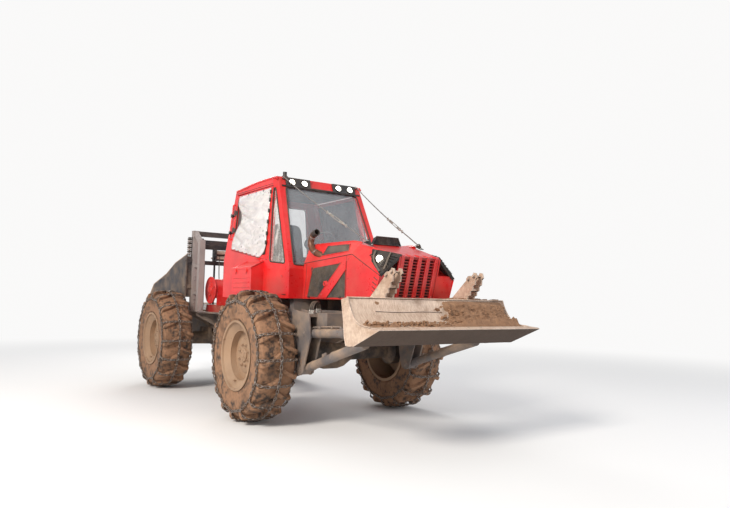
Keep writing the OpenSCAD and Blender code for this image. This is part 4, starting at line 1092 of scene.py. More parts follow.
def make_hood_trim():
    """Seams, a painted shadow line along each headlight facet's lower edge, screws and door catches on the
    hood.
    """
    seam_and_shadow_lines, screws, catches = Piece(), Piece(), Piece()
    for side in (1, -1):
        out = Vector((0, side, 0))
        flat, slope = hood_side(side), raised_shoulder(side, 1)
        seam_and_shadow_lines.tube([flat(1118, 1442), flat(1118, 1640), flat(1118, 1912)], 0.0032, 6, 2)
        seam_and_shadow_lines.tube([flat(184, 1856), flat(700, 1888), flat(1210, 1920)], 0.0044, 6, 2)
        # Dark line along the headlight facet's lower edge: painted shadow, not a seam
        seam_and_shadow_lines.tube([flat(1226, 1917), flat(1480, 1796), flat(1729, 1678)], 0.0036, 6, 2)
        seam_and_shadow_lines.tube([flat(206, 1440), flat(240, 1640), flat(250, 1846)], 0.0026, 6, 2)
        for x, z in ((1150, 1470), (1150, 1660), (1160, 1880), (1560, 1466), (1380, 1790), (1200, 1466)):
            screws.bolt(flat(x, z) + 0.003 * out, out, 0.0085, 0.006)
        for x, z in ((262, 1460), (262, 1640), (280, 1830), (660, 1862)):
            screws.bolt(flat(x, z), out, 0.0075, 0.005)
        for x, t in ((230, 0.2), (230, 0.85), (520, 0.9), (560, 0.1), (1140, 0.2), (1150, 0.75)):
            screws.bolt(slope(x, t), (0, side * 0.9, 0.5), 0.0075, 0.005)
        catches.box(
            flat(381, 1760) - Vector((0.012, 0.006, 0.024)),
            flat(381, 1800) + Vector((0.012, 0.012, 0.004)),
            0.003,
        )
        for x in (330, 1000):
            catches.box(
                flat(x - 22, 1444) - 0.002 * Vector((0, 1, 0)), flat(x + 22, 1462) + 0.012 * out, 0.0015
            )
    seam_and_shadow_lines.make("hood_seam_and_shadow_lines", "front", "black_paint", SEAL, smooth=60)
    screws.make("hood_screws", "front", "red_paint")
    catches.make("hood_catches", "front", "black_paint", bevel=0.001)


def make_grille():
    """Folded upright bars over slats, with wire and a dark screen behind, in the raked nose."""
    bars, slats, frame_piece = Piece(), Piece(), Piece()
    low, high = at(1650, 0, 1440), at(1765, 0, 1900)
    rake = (high - low) / (high.z - low.z)
    forward = Vector((rake.z, 0, -rake.x)).normalized()
    reach, foot, head = 0.262, low.z + 0.006, high.z - 0.008
    wire_depth, screen_depth = -0.046, -0.06

    def face(y, z, out=0.0):
        return Vector((low.x, y, low.z)) + rake * (z - low.z) + out * forward

    bar_count = 5
    section = [
        (-0.027, -0.034), (-0.026, -0.004), (-0.018, 0.003), (0.018, 0.003), (0.026, -0.004), (0.027, -0.034)
    ]
    for i in range(bar_count):
        y = -0.232 + 0.464 * i / (bar_count - 1)
        rings = [
            [face(y + dy, z, out) for dy, out in section] for z in (foot, (foot + head) / 2, head - 0.012)
        ]
        rings.append([face(y + dy, head, out - 0.012) for dy, out in section])
        bars.rings(rings)
        # The bar's top folds back over the edge of the nose
        edge = face(y, head, 0.001)
        back = Vector((-0.09, 0, 0.0224))
        bars.solid([
            edge + Vector((0, dy, 0)) + lift
            for dy in (-0.022, 0.022)
            for lift in (Vector((0, 0, -0.008)), Vector((0, 0, 0.010)), back + Vector((0, 0, 0.006)), back)
        ])
        for z in (foot + 0.03, head - 0.045):
            bars.bolt(face(y, z, 0.003), forward, 0.007, 0.005)
    louvres = Piece()
    count = 14
    for i in range(count):
        z = foot + 0.018 + (head - foot - 0.045) * i / (count - 1)
        blade = [(-0.016, -0.036), (-0.006, -0.0085), (0.006, -0.0085), (-0.002, -0.036)]
        louvres.rings([[face(y, z + dz, out) for dz, out in blade] for y in (-reach, reach)])
    louvres.make("grille_louvres", "front", "deep_red_paint", replaces=["front_grille"])
    for i in range(44):
        y = -0.258 + 0.012 * i
        slats.rod(face(y, foot, wire_depth), face(y, head - 0.02, wire_depth), 0.0016, 4, 0)
    corners = ((-reach, foot), (reach, foot), (reach, head - 0.03), (-reach, head - 0.03))
    slats.plate([face(y, z, screen_depth) for y, z in corners], -0.004 * forward)
    for y in (-reach, reach):
        inner = y - math.copysign(0.012, y)
        frame_piece.solid([
            face(e, z, out) for e in (y, inner) for z in (foot, head - 0.004) for out in (-0.04, -0.002)
        ])
    for z, z1 in ((foot - 0.003, foot + 0.02), (head - 0.02, head - 0.004)):
        frame_piece.solid([
            face(y, e, out) for y in (-reach, reach) for e in (z, z1) for out in (-0.04, -0.003)
        ])
    bars.make("grille_bars", "front", "red_paint", bevel=0.002, replaces=["front_grille"])
    slats.make("grille_slats", "front", "black_mesh", replaces=["front_grille"])
    frame_piece.make("grille_frame", "front", "deep_red_paint", bevel=0.001)


# Outline (x, z) of the black housing on the facet beside the nose, from its rear top corner
LAMP_PANEL = [(1397, 1969), (1600, 1933), (1763, 1899), (1747, 1796), (1733, 1681), (1508, 1836)]


def make_headlights():
    """Each corner housing: a black panel with a rim, upright ribs, slanting fins and a small round lamp."""
    shells, lenses, bulbs, fins = Piece(), Piece(), Piece(), Piece()
    for side in (1, -1):
        place, normal = corner_face(side)
        shells.plate([place(x, z, 0.003) for x, z in LAMP_PANEL], -0.026 * normal)
        shells.tube([place(x, z, 0.004) for x, z in LAMP_PANEL], 0.0055, 8, 1, True)

        def bar(piece, points, half, height):
            """A strip that stands on the panel along a line."""
            for a, b in zip(points, points[1:]):
                pa, pb = place(*a), place(*b)
                across = (pb - pa).cross(normal).normalized() * half
                piece.solid([
                    p + d + h * normal for p in (pa, pb) for d in (across, -across) for h in (0.002, height)
                ])

        bar(fins, [(1462, 1944), (1494, 1876), (1560, 1812), (1640, 1752), (1698, 1712)], 0.010, 0.022)
        bar(fins, [(1640, 1918), (1668, 1850), (1700, 1790), (1722, 1735)], 0.010, 0.022)
        for k in range(6):
            t = (k + 0.5) / 6
            a = 1648 + 70 * t, 1905 - 150 * t
            b = min(1756, 1735 + 12 * (1 - t) + 10), 1880 - 170 * t
            bar(shells, [a, b], 0.0045, 0.016)
        for k in range(5):
            t = (k + 0.5) / 5
            bar(shells, [(1440 + 170 * t, 1930 - 110 * t), (1420 + 130 * t, 1905 - 90 * t)], 0.004, 0.012)
            bar(shells, [(1610 + 40 * t, 1880 - 110 * t), (1640 + 50 * t, 1862 - 100 * t)], 0.004, 0.012)
        way = Vector((0.93, side * 0.30, 0.06)).normalized()
        heart = place(1575, 1850, 0.012) + 0.012 * way
        bowl = [
            (0.006, -0.040), (0.034, -0.034), (0.041, -0.006), (0.043, 0.010), (0.048, 0.011), (0.050, 0.004),
            (0.050, -0.03), (0.03, -0.046), (0.006, -0.046),
        ]
        shells.revolve(bowl, heart, way, 36)
        lenses.revolve(
            [(0.001, 0.012), (0.024, 0.0105), (0.0425, 0.006), (0.0425, 0.003), (0.001, 0.003)],
            heart, way, 32,
        )
        bulbs.revolve([(0.001, 0.0025), (0.038, 0.0015), (0.038, -0.002), (0.001, -0.006)], heart, way, 24)
    shells.make("headlight_panels", "front", "black_paint", bevel=0.0008, replaces=["headlights"])
    fins.make("headlight_ribs", "front", "black_paint", DUSTY_SCREEN, bevel=0.002)
    lenses.make("headlight_lenses", "front", "window_glass", LENS, smooth=60)
    bulbs.make("headlight_glow", "front", "window_glass", LAMP_GLOW, smooth=60)


DUSTY_SCREEN = painted("dusty_screen", srgb(84, 77, 71), 0.7, dust=0.6, mud=0.5, wear=0.1, mud_top=2.2)
make_shoulders()
make_hood_meshes()
make_side_skins()
make_intake()
make_hood_trim()
make_grille()
make_headlights()


# Cab

CAB_TOP = 2994
CAB_REAR = -1600
WAIST = 1950


def side_y(z):
    """Half of the cab's width, in millimetres, at a height on its leaning sides."""
    return 800 - max(z - WAIST, 0) * 160 / (CAB_TOP - WAIST)


def cab_side(side, out=0):
    return lambda x, z: at(x, side * (side_y(z) + out), z)


def windshield(out=0):
    """A function that puts a point (y, z) on the windshield's plane."""
    return lambda y, z: at(180 - (z - 1790) * 527 / 1204 + out, y, z + out * 0.44)


def corner(side, out=0):
    """A function that puts a point (x, z) on the slanting panel between windshield and side."""
    a, b, c = Vector((180, 710, 1790)), Vector((-257, 800, 1790)), Vector((-440, 640, 2994))
    normal = (b - a).cross(c - a).normalized()
    if normal.y < 0:
        normal = -normal

    def place(x, z):
        y = a.y - (normal.x * (x - a.x) + normal.z * (z - a.z)) / normal.y
        spot = Vector((x, y, z)) + out * normal
        return at(spot.x, side * spot.y, spot.z)

    return place


SHIELD = [(-640, 1835), (640, 1835), (545, 2860), (-545, 2860)]
CORNER_PANE = [(88, 1850), (-215, 1880), (-398, 2840), (-352, 2840)]
REAR_PANE = [(560, 2060), (-560, 2060), (-500, 2800), (500, 2800)]
DOOR_PANE = [(-325, 1972), (-1345, 2135), (-1455, 2822), (-458, 2822)]


def rear_wall(out=0):
    return lambda y, z: at(CAB_REAR - out, y, z)


def rounded(outline, radius, steps=4):
    """An outline with round corners."""
    points = []
    count = len(outline)
    for i in range(count):
        before, here, after = [Vector(outline[(i + k) % count]) for k in (-1, 0, 1)]
        a = here + (before - here).normalized() * radius
        b = here + (after - here).normalized() * radius
        for s in range(steps + 1):
            t = s / steps
            points.append(tuple((1 - t) ** 2 * a + 2 * t * (1 - t) * here + t * t * b))
    return points


def make_panes():
    """The fixed panes, each with its rubber seal."""
    clear, streaked, seals = Piece(), Piece(), Piece()

    def pane(piece, outline, place_in, place_out, place_seal):
        outline = rounded(outline, 45)
        piece.rings([[place_in(*p) for p in outline], [place_out(*p) for p in outline]])
        seals.tube([place_seal(*p) for p in outline], 0.0085, 8, 1, True)

    pane(clear, SHIELD, windshield(-26), windshield(-18), windshield(1))
    pane(clear, REAR_PANE, rear_wall(-26), rear_wall(-18), rear_wall(1))
    for side in (1, -1):
        pane(streaked, CORNER_PANE, corner(side, -26), corner(side, -18), corner(side, 1))
        outline = rounded(DOOR_PANE, 40)
        ring = [cab_side(side, 1)(*p) for p in outline]
        door = Piece()
        door.tube(ring, 0.008, 8, 1, True)
        door.make(f"door_seal_{side_name(side)}", f"door_{side_name(side)}", "hose_rubber", SEAL, smooth=60)
    clear.make("clear_panes", "front", "window_glass", replaces=["cab_windows"])
    streaked.make("corner_panes", "front", "window_glass", STREAKED_GLASS)
    seals.make("window_seals", "front", "hose_rubber", SEAL, smooth=60)


def film_front(t):
    """(x, z) on the film's front edge from its foot, t = 0, to its head, t = 1; the lower corner is round."""
    round_off = 130 * (1 - min(t / 0.16, 1.0)) ** 2.2
    return -300 - 150 * t - round_off, 1944 + 908 * t


def film_rear(t):
    """The same on the rear edge, which its ties draw in at the middle."""
    draw = 225 * math.exp(-((t - 0.55) / 0.24) ** 2)
    return -1392 - 92 * t + draw + 60 * max(0.0, t - 0.86) / 0.14, 2112 + 740 * t


def make_film(side):
    """The milky film over the door's window: a sheet tied at its corners, with folds between the ties."""
    columns, rows = 84, 84
    verts, faces = [], []
    for j in range(rows + 1):
        t = j / rows
        front, rear = film_front(t), film_rear(t)
        for i in range(columns + 1):
            s = i / columns
            x = front[0] + (rear[0] - front[0]) * s
            z = front[1] + (rear[1] - front[1]) * s
            hang = math.sin(math.pi * s)
            sag = 9 * hang * math.sin(math.pi * t)
            # Long folds that sweep from the front edge down to the rear ties
            sweep = 14.5 * t + 2.1 * hang + 1.1 * noise.noise(Vector((s * 1.9, t * 2, side)))
            fold = 25 * abs(math.sin(sweep)) ** 0.6 * (0.4 + 0.6 * s)
            crease = 3 * noise.fractal(Vector((s * 4, t * 12, 2.3 * side)), 1.0, 2.1, 3)
            scallop = 13 * abs(math.sin(7 * math.pi * s)) ** 0.7 * math.exp(-t * 22)
            edge = min(1.0, 9 * min(s, 1 - s, t, 1 - t) + 0.25)
            out = 6 + (sag + fold + crease) * edge + scallop
            verts.append(
                cab_side(side, max(out, 2.5))(x, z - 9 * abs(math.sin(7 * math.pi * s)) * math.exp(-t * 30))
            )
    for j in range(rows):
        for i in range(columns):
            a = j * (columns + 1) + i
            faces.append((a, a + 1, a + columns + 2, a + columns + 1))
    name = side_name(side)
    piece = Piece()
    piece.add(verts, faces)
    film = piece.make(f"door_film_{name}", f"door_{name}", "milky_pane", smooth=80)
    thick = film.modifiers.new("thickness", "SOLIDIFY")
    thick.thickness = 0.002
    ties = Piece()
    for t in (0.2, 0.33, 0.5, 0.66, 0.82, 0.94):
        x, z = film_front(t)
        p = cab_side(side, 8)(x - 4, z)
        ties.box(*near(p, (-0.014, -0.006, -0.026), (0.018, 0.009, 0.026)), 0.003)
    for s in (0.07, 0.21, 0.36, 0.5, 0.64, 0.79, 0.93):
        low = cab_side(side, 12)(-300 - 1088 * s - 60 * (s < 0.1), 1968 + 162 * s + 20 * (s < 0.1))
        ties.ring(low, (0.1, side, 0.1), 0.0125, 0.0035, 18, 6)
    for s in (0.2, 0.42, 0.66, 0.88):
        high = cab_side(side, 10)(-458 - 1000 * s, 2838)
        ties.ring(high, (0.1, side, 0.1), 0.0125, 0.0035, 18, 6)
    tied = ties.make(f"film_ties_{name}", f"door_{name}", "dark_plastic", smooth=50)


def bowed(side, points, ends, middle):
    """Places off the cab's side for a rail: the first and last by ends, those between by middle."""
    last = len(points) - 1
    return [cab_side(side, ends if i in (0, last) else middle)(*p) for i, p in enumerate(points)]


def make_door_fittings(side):
    """Hinge straps over the knuckles, the door handle and the lock plate."""
    name = side_name(side)
    piece = Piece()
    way = (cab_side(side)(-1540, 2886) - cab_side(side)(-1415, 2096)).normalized()
    for t in HINGE_PLACES:
        z = 2096 + 790 * t
        x = -1415 - 125 * t
        foot = cab_side(side)(x, z)
        piece.rod(foot - 0.006 * way, foot + 0.086 * way, 0.0165, 20, 0.003)
        strap = [cab_side(side, 3)(x + dx, z + dz) for dx, dz in ((0, 12), (66, 12), (66, 68), (0, 68))]
        piece.plate(strap, (0, side * 0.006, 0))
        for dx, dz in ((24, 26), (24, 54), (50, 26), (50, 54)):
            piece.bolt(cab_side(side, 9)(x + dx, z + dz), (0, side, 0.15), 0.006, 0.005)
    handle = [(-462, 1918), (-464, 1926), (-482, 1932), (-556, 1946), (-572, 1944)]
    grip = Piece()
    grip.tube(bowed(side, handle, 6, 26), 0.0075, 10, 5)
    lock = cab_side(side, 2)(-462, 1919)
    grip.box(*near(lock, (-0.02, -0.008, -0.017), (0.02, 0.008, 0.017)), 0.004)
    grip.make(f"door_handle_{name}", f"door_{name}", "red_paint", smooth=50)
    piece.make(f"door_fittings_{name}", f"door_{name}", "black_paint", bevel=0.001)


def make_cab_outside():
    """Gutters, corner tubes, the grab rails, the visor and screws on the cab's shell."""
    tubes, trims, screws = Piece(), Piece(), Piece()
    for side in (1, -1):
        edge = cab_side(side, 2)
        tubes.tube(
            [
                edge(-330, 2950), edge(-352, 2976), edge(-400, 2984), edge(-900, 2986), edge(-1330, 2960),
                edge(-1570, 2946),
            ],
            0.013, 10, 5,
        )
        seam = cab_side(side, 0.5)
        trims.tube([seam(-440, 2906), seam(-1000, 2906), seam(-1590, 2906)], 0.0035, 6, 1)
        rail = [(-1466, 2250), (-1474, 2262), (-1524, 2600), (-1542, 2730), (-1548, 2744)]
        tubes.tube(bowed(side, rail, 2, 30), 0.0105, 10, 5)
        for z, x in ((2330, -1485), (2580, -1521)):
            spot = cab_side(side, 30)(x, z)
            trims.rod(*near(spot, (-0.004, 0, -0.026), (-0.004, 0, 0.026)), 0.019, 16, 0.004)
            trims.rod(cab_side(side, 0)(x, z), spot, 0.009, 10)
        for x, z in (
            (-300, 1700), (-300, 1500), (-1000, 1500), (-1560, 1500), (-1560, 1900), (-1570, 2840), (60, 1700)
        ):
            screws.bolt(
                (corner(side, 0) if x > -257 else cab_side(side, 0))(x, z), (0.05, side, 0.1), 0.0085, 0.006
            )
    trims.tube([windshield(6)(y, 2868) for y in (-600, -300, 0, 300, 600)], 0.011, 8, 1)
    trims.box(at(-352, -560, 2846), at(-318, 560, 2862), 0.004)
    for y in (-130, 130):
        for z in (2888, 2972):
            screws.bolt(windshield(0)(y, z), (1, 0, 0.44), 0.0075, 0.006)
    for y in (-520, -260, 0, 260, 520):
        screws.bolt(rear_wall(0)(y, 2850), (-1, 0, 0), 0.0085, 0.006)
        screws.bolt(rear_wall(0)(y, 1980), (-1, 0, 0), 0.0085, 0.006)
    tubes.make("cab_gutters", "front", "red_paint", smooth=60)
    trims.make("cab_trims", "front", "black_paint", smooth=50)
    screws.make("cab_screws", "front", "red_paint")


def make_roof_lamps():
    """Two lamps in each ribbed cluster, and the beacon."""
    housings, glows, glass_covers = Piece(), Piece(), Piece()
    normal = Vector((1, 0, 0.4377)).normalized()
    up = Vector((-0.4377, 0, 1)).normalized()
    for side in (1, -1):
        for y in (262, 448):
            heart = windshield(0)(side * y, 2928) + 0.004 * normal
            square = []
            for t in around(24):
                reach = 0.0455 / max(abs(math.cos(t)), abs(math.sin(t))) ** 0.12
                square.append(reach * on_circle(t, Vector((0, 1, 0)), up))
            levels = (
                (1.16, -0.012), (1.18, 0.018), (1.12, 0.022), (1.0, 0.022), (0.96, 0.008), (0.94, 0.004)
            )
            housings.rings([[heart + k * p + d * normal for p in square] for k, d in levels])
            glows.rings([
                [heart + k * p + d * normal for p in square]
                for k, d in ((0.97, 0.006), (0.92, 0.015), (0.6, 0.026), (0.2, 0.03))
            ])
            for dy in (-0.055, 0.055):
                housings.box(*near(heart, (-0.02, dy - 0.003, -0.03), (0.012, dy + 0.003, 0.02)), 0.001)
        for k in range(15):
            y = side * (186 + k * 24)
            foot, head = windshield(2)(y, 2968), windshield(2)(y, 2988)
            housings.solid([
                p + Vector((0, d, 0)) + o * normal
                for p in (foot, head)
                for d in (-0.0035, 0.0035)
                for o in (-0.01, 0.014)
            ])
        for z in (2866, 2878, 2890):
            housings.tube([windshield(3)(side * 182, z), windshield(3)(side * 530, z)], 0.004, 6, 1)
    place = at(-406, -500, CAB_TOP)
    dome = [
        (0.001, 0.066), (0.014, 0.064), (0.024, 0.052), (0.027, 0.034), (0.027, 0.024), (0.036, 0.022),
        (0.041, 0.014), (0.041, 0.0), (0.001, 0.0),
    ]
    glass_covers.revolve(dome, place, (0, 0, 1), 32)
    housings.make("roof_lamp_housings", "front", "black_paint", bevel=0.0008)
    glows.make("roof_lamp_lenses", "front", "window_glass", LAMP_GLOW, smooth=60)
    glass_covers.make("beacon_cap", "front", "dark_plastic", smooth=50)


HINGE_PLACES = (0.29, 0.61)
STREAKED_GLASS = glass("streaked_glass", srgb(214, 210, 206), 0.9)
make_panes()
for side_sign in (1, -1):
    make_film(side_sign)
    make_door_fittings(side_sign)
make_cab_outside()
make_roof_lamps()


# Inside the cab

CAB_FLOOR = 1475
SEAT = at(-950, 0, CAB_FLOOR)
WHEEL_HEART = at(-330, 0, 2195)
COLUMN_FOOT = at(-60, 0, 1760)
WHEEL_R = 0.19
SEAT_CLOTH = MATERIALS["seat_fabric"]


def round_power(value, power):
    return math.copysign(abs(value) ** power, value)


def add_pad(piece, heart, half, turn=None, crown=0.02, channels=(), lumbar=0.0):
    """A stuffed pad: crowned top, sides that pull in between the corners, a piped seam and sewn channels.

    half is its half sizes; channels lists places across its width, from -1 to 1, where the top is sewn down.
    """
    levels = 18
    rings, seam = [], []
    for j in range(levels + 1):
        rise = -math.pi / 2 + math.pi * j / levels
        scale = max(abs(math.cos(rise)) ** 0.34, 0.02)
        z = half[2] * round_power(math.sin(rise), 0.62)
        ring = []
        for t in around(56):
            u, v = round_power(math.cos(t), 0.42), round_power(math.sin(t), 0.42)
            pull = 1 - 0.035 * (1 - min(u * u, v * v))
            x, y = half[0] * scale * u * pull, half[1] * scale * v * pull
            height = z
            if z > 0:
                near = max(0.0, (1 - (x / half[0]) ** 2) * (1 - (y / half[1]) ** 2))
                height += crown * near + lumbar * near * math.cos(math.pi * x / half[0])
                for place in channels:
                    height -= 0.013 * math.exp(-((y / half[1] - place) / 0.045) ** 2) * min(1, 3 * near)
            point = Vector((x, y, height))
            ring.append(heart + (turn @ point if turn else point))
        rings.append(ring)
        if j == levels // 2 + 2:
            seam = ring
    piece.rings(rings)
    piece.tube(seam[::2], 0.0042, 6, 2, True)


def make_seat():
    """The seat on its ribbed bellows, with stuffed pads and arm rests."""
    base, cushion, back, arms = Piece(), Piece(), Piece(), Piece()
    lean = Matrix.Rotation(math.radians(-12), 3, "Y")
    upright = lean @ Matrix.Rotation(math.radians(-90), 3, "Y")
    base.box(*near(SEAT, (-0.16, -0.17, 0), (0.19, 0.17, 0.035)), 0.006)
    for k in range(7):
        grow = 0.012 if k % 2 else 0.0
        base.box(
            *near(
                SEAT,
                (-0.13 - grow, -0.14 - grow, 0.035 + k * 0.034),
                (0.15 + grow, 0.14 + grow, 0.072 + k * 0.034),
            ),
            0.012,
        )
    base.box(*near(SEAT, (-0.2, -0.21, 0.276), (0.24, 0.21, 0.318)), 0.01)
    for side in (1, -1):
        base.box(*near(SEAT, (-0.17, side * 0.176 - 0.014, 0.262), (0.26, side * 0.176 + 0.014, 0.28)), 0.003)
        hip = SEAT + Vector((-0.1, side * 0.262, 0.4))
        base.rod(*near(hip, (0, -side * 0.03, 0), (0, side * 0.012, 0)), 0.04, 24, 0.004)
        base.tube(
            [hip, hip + Vector((-0.005, side * 0.008, 0.09)), SEAT + Vector((-0.1, side * 0.288, 0.565))],
            0.014, 10, 4,
        )
        add_pad(arms, SEAT + Vector((-0.005, side * 0.289, 0.585)), (0.165, 0.031, 0.022), crown=0.008)
        base.box(*near(SEAT, (-0.16, side * 0.289 - 0.02, 0.555), (0.12, side * 0.289 + 0.02, 0.57)), 0.004)
    base.rod(*near(SEAT, (0.2, -0.16, 0.3), (0.29, -0.17, 0.29)), 0.007, 10)
    base.rod(*near(SEAT, (0.282, -0.17, 0.291), (0.318, -0.174, 0.287)), 0.013, 12)
    add_pad(cushion, SEAT + Vector((0.025, 0, 0.385)), (0.245, 0.248, 0.062), crown=0.018,
            channels=(-0.5, -0.17, 0.17, 0.5))
    middle = Vector((-0.19, 0, 0.43)) + lean @ Vector((0, 0, 0.31))
    add_pad(back, SEAT + middle, (0.305, 0.238, 0.052), upright, 0.012, (-0.5, -0.17, 0.17, 0.5), 0.012)
    shell_heart = SEAT + middle + lean @ Vector((-0.05, 0, 0))
    base.box(Vector((-0.012, -0.2, -0.26)), Vector((0.012, 0.2, 0.26)), 0.01,
             Matrix.Translation(shell_heart) @ lean.to_4x4())
    base.make("seat_base", "front", "dark_plastic", replaces=["driver_seat"])
    for piece, name in ((cushion, "seat_cushion"), (back, "seat_back"), (arms, "seat_arm_pads")):
        made = piece.make(name, "front", "seat_fabric", SEAT_CLOTH, smooth=60, replaces=["driver_seat"])


def make_steering_wheel(piece):
    """The wheel with its grip, spokes, boss and knob, and the column."""
    axis = (WHEEL_HEART - COLUMN_FOOT).normalized()
    across = Vector((0, 1, 0))
    ahead = across.cross(axis)
    points, radii = [], []
    for t in around(72):
        points.append(WHEEL_HEART + WHEEL_R * on_circle(t, ahead, across))
        radii.append(0.0135 + 0.0011 * math.cos(18 * t))
    piece.tube(points, radii, 10, 1, True)
    for k in range(3):
        t = 2 * math.pi * k / 3 + math.pi
        out = on_circle(t, ahead, across)
        low = WHEEL_HEART - 0.012 * axis
        for shift in (-0.016, 0.016):
            side = shift * axis.cross(out)
            piece.tube(
                [
                    low + 0.03 * out + side, low + 0.11 * out + 0.7 * side,
                    WHEEL_HEART + 0.186 * out + 0.5 * side,
                ],
                0.0058, 8, 3,
            )
    dome = [
        (0.001, 0.014), (0.026, 0.012), (0.041, 0.004), (0.045, -0.006), (0.044, -0.022), (0.03, -0.034),
        (0.001, -0.034),
    ]
    piece.revolve(dome, WHEEL_HEART, axis, 32)
    knob = WHEEL_HEART + WHEEL_R * (0.5 * ahead + 0.866 * across) + 0.012 * axis
    piece.rod(knob, knob + 0.022 * axis, 0.007, 10)
    piece.revolve(
        [(0.001, 0.062), (0.014, 0.058), (0.021, 0.044), (0.019, 0.03), (0.009, 0.02), (0.001, 0.018)],
        knob, axis, 20,
    )
    piece.rod(COLUMN_FOOT, COLUMN_FOOT.lerp(WHEEL_HEART, 0.55), 0.034, 20, 0.004)
    piece.rod(COLUMN_FOOT.lerp(WHEEL_HEART, 0.53), WHEEL_HEART - 0.03 * axis, 0.024, 20, 0.003)
    for k in range(5):
        piece.rod(
            COLUMN_FOOT + (0.02 + 0.026 * k) * axis, COLUMN_FOOT + (0.036 + 0.026 * k) * axis,
            0.05 - 0.003 * k, 20, 0.006,
        )
    stalk = COLUMN_FOOT.lerp(WHEEL_HEART, 0.8)
    piece.tube(
        [stalk, stalk + 0.07 * across, stalk + 0.14 * across + 0.015 * axis], [0.006, 0.006, 0.009], 8, 4
    )


def make_dash():
    """Dashboard with dials and switches, steering wheel, pedals and side consoles with levers."""
    piece = Piece()
    plastic, beige, seal, dial = range(4)
    profile = [
        (-120, CAB_FLOOR), (118, CAB_FLOOR), (118, 1762), (62, 1828), (40, 1832), (-96, 1806), (-120, 1784)
    ]
    for low, high, inset in ((-330, -322, 6), (-322, 322, 0), (322, 330, 6)):
        rings = []
        for y in (low, high):
            shrink = inset if abs(y) == 330 else 0
            rings.append([at(x * (1 - shrink / 120), y, z - shrink * (z > 1500)) for x, z in profile])
        piece.rings(rings)
    make_steering_wheel(piece)
    facing = Vector((-0.19, 0, 0.98)).normalized()
    for y, r in ((-210, 0.045), (-110, 0.034), (110, 0.034), (210, 0.045)):
        heart = at(-30, y, 1820)
        piece.kind = seal
        piece.rod(heart, heart + 0.014 * facing, r, 28, 0.004)
        piece.kind = dial
        piece.rod(heart + 0.0142 * facing, heart + 0.0155 * facing, r * 0.86, 28, 0.0002)
        piece.kind = seal
        piece.rod(
            heart + 0.017 * facing, heart + 0.017 * facing + Vector((0.3 * r, 0.7 * r, 0.06 * r)), 0.0014, 6
        )
    for k in range(8):
        y = -175 + k * 50
        piece.box(at(-92, y - 15, 1809), at(-66, y + 15, 1822), 0.003)
    for y in (-120, 110):
        piece.box(at(-236, y - 38, 1508), at(-222, y + 38, 1590), 0.006, None)
        piece.tube([at(-224, y, 1550), at(-170, y, 1600), at(-118, y, 1622)], 0.008, 8, 3)
        for k in range(4):
            piece.box(at(-241, y - 34, 1518 + k * 18), at(-234, y + 34, 1526 + k * 18), 0.002)
    piece.kind = beige
    for side in (1, -1):
        low, high = sorted((side * 380, side * 560))
        piece.box(at(-1350, low, CAB_FLOOR), at(-700, high, 1985), 0.022)
        piece.box(at(-1330, low + 14, 1984), at(-1010, high - 14, 1998), 0.006)
        piece.box(at(-990, low + 10, 1984), at(-712, high - 10, 1993), 0.005)
    piece.kind = plastic
    for side, x, y, tall, lean in (
        (-1, -800, -470, 150, -0.1), (-1, -880, -440, 120, 0.05), (-1, -880, -500, 120, 0.05),
        (1, -800, 470, 165, -0.12), (1, -900, 440, 100, 0.0), (1, -900, 480, 100, 0.12),
        (1, -900, 520, 100, -0.1),
    ):
        foot = at(x, y, 1990)
        head = foot + Vector((lean * tall, 0, tall)) / 1000
        for k in range(4):
            piece.rod(
                foot.lerp(head, 0.07 * k), foot.lerp(head, 0.07 * k + 0.06), 0.028 - 0.005 * k, 16, 0.003
            )
        piece.rod(foot, head, 0.0055, 8)
        grip = (head - foot).normalized()
        shape = [
            (0.001, 0.034), (0.011, 0.031), (0.016, 0.02), (0.0165, 0.008), (0.011, -0.012), (0.008, -0.03),
            (0.001, -0.03),
        ]
        if tall > 140:
            shape = [
                (0.001, 0.05), (0.013, 0.047), (0.018, 0.034), (0.019, 0.01), (0.0155, -0.02),
                (0.019, -0.045), (0.014, -0.056), (0.001, -0.056),
            ]
        piece.revolve(shape, head, grip, 20)
    for side in (1, -1):
        piece.kind = seal
        for k in range(5):
            piece.rod(
                at(-1060 - k * 52, side * 440, 1996), at(-1060 - k * 52, side * 440, 2010), 0.015, 16, 0.003
            )
    piece.make(
        "cab_controls", "front", "dark_plastic",
        [MATERIALS["dark_plastic"], CONSOLE, SEAL, DIAL],
        smooth=40, replaces=["driver_controls"],
    )


def make_cab_lining():
    """Ribbed floor mat, headlining with its visor, and grab handles by the corner panes."""
    mat, lining, handles = Piece(), Piece(), Piece()
    mat.box(at(-1540, -740, CAB_FLOOR), at(130, 740, CAB_FLOOR + 6), 0.003)
    for k in range(24):
        y = -690 + k * 60
        mat.box(at(-640, y - 7, 1480), at(-150, y + 7, 1485), 0.002)
    lining.box(at(-1480, -600, 2880), at(-520, 600, 2888), 0.003)
    for k in range(5):
        x = -1400 + 200 * k
        lining.box(at(x - 6, -590, 2876), at(x + 6, 590, 2882), 0.002)
    lining.box(at(-620, -480, 2862), at(-500, -60, 2876), 0.005)
    for side in (1, -1):
        handles.tube([
            at(-150, side * 628, 2120), at(-190, side * 610, 2150), at(-262, side * 590, 2290),
            at(-330, side * 575, 2440), at(-342, side * 590, 2480),
        ], 0.011, 10, 5)
    mat.make("cab_floor_mat", "front", "dark_plastic", SEAL)
    lining.make("cab_headlining", "front", "seat_fabric", LINING)
    handles.make("cab_grab_handles", "front", "dark_plastic")


DIAL = plain("dial_face", srgb(214, 212, 206), 0.3, 0.0, 200, 0.1, 0.1)
LINING = plain("headlining", srgb(82, 78, 78), 0.9, 0.0, 300, 0.15, 0.2)
make_seat()
make_dash()
make_cab_lining()


# Front half: exhaust, limb risers, hoses, boxes, frame and engine

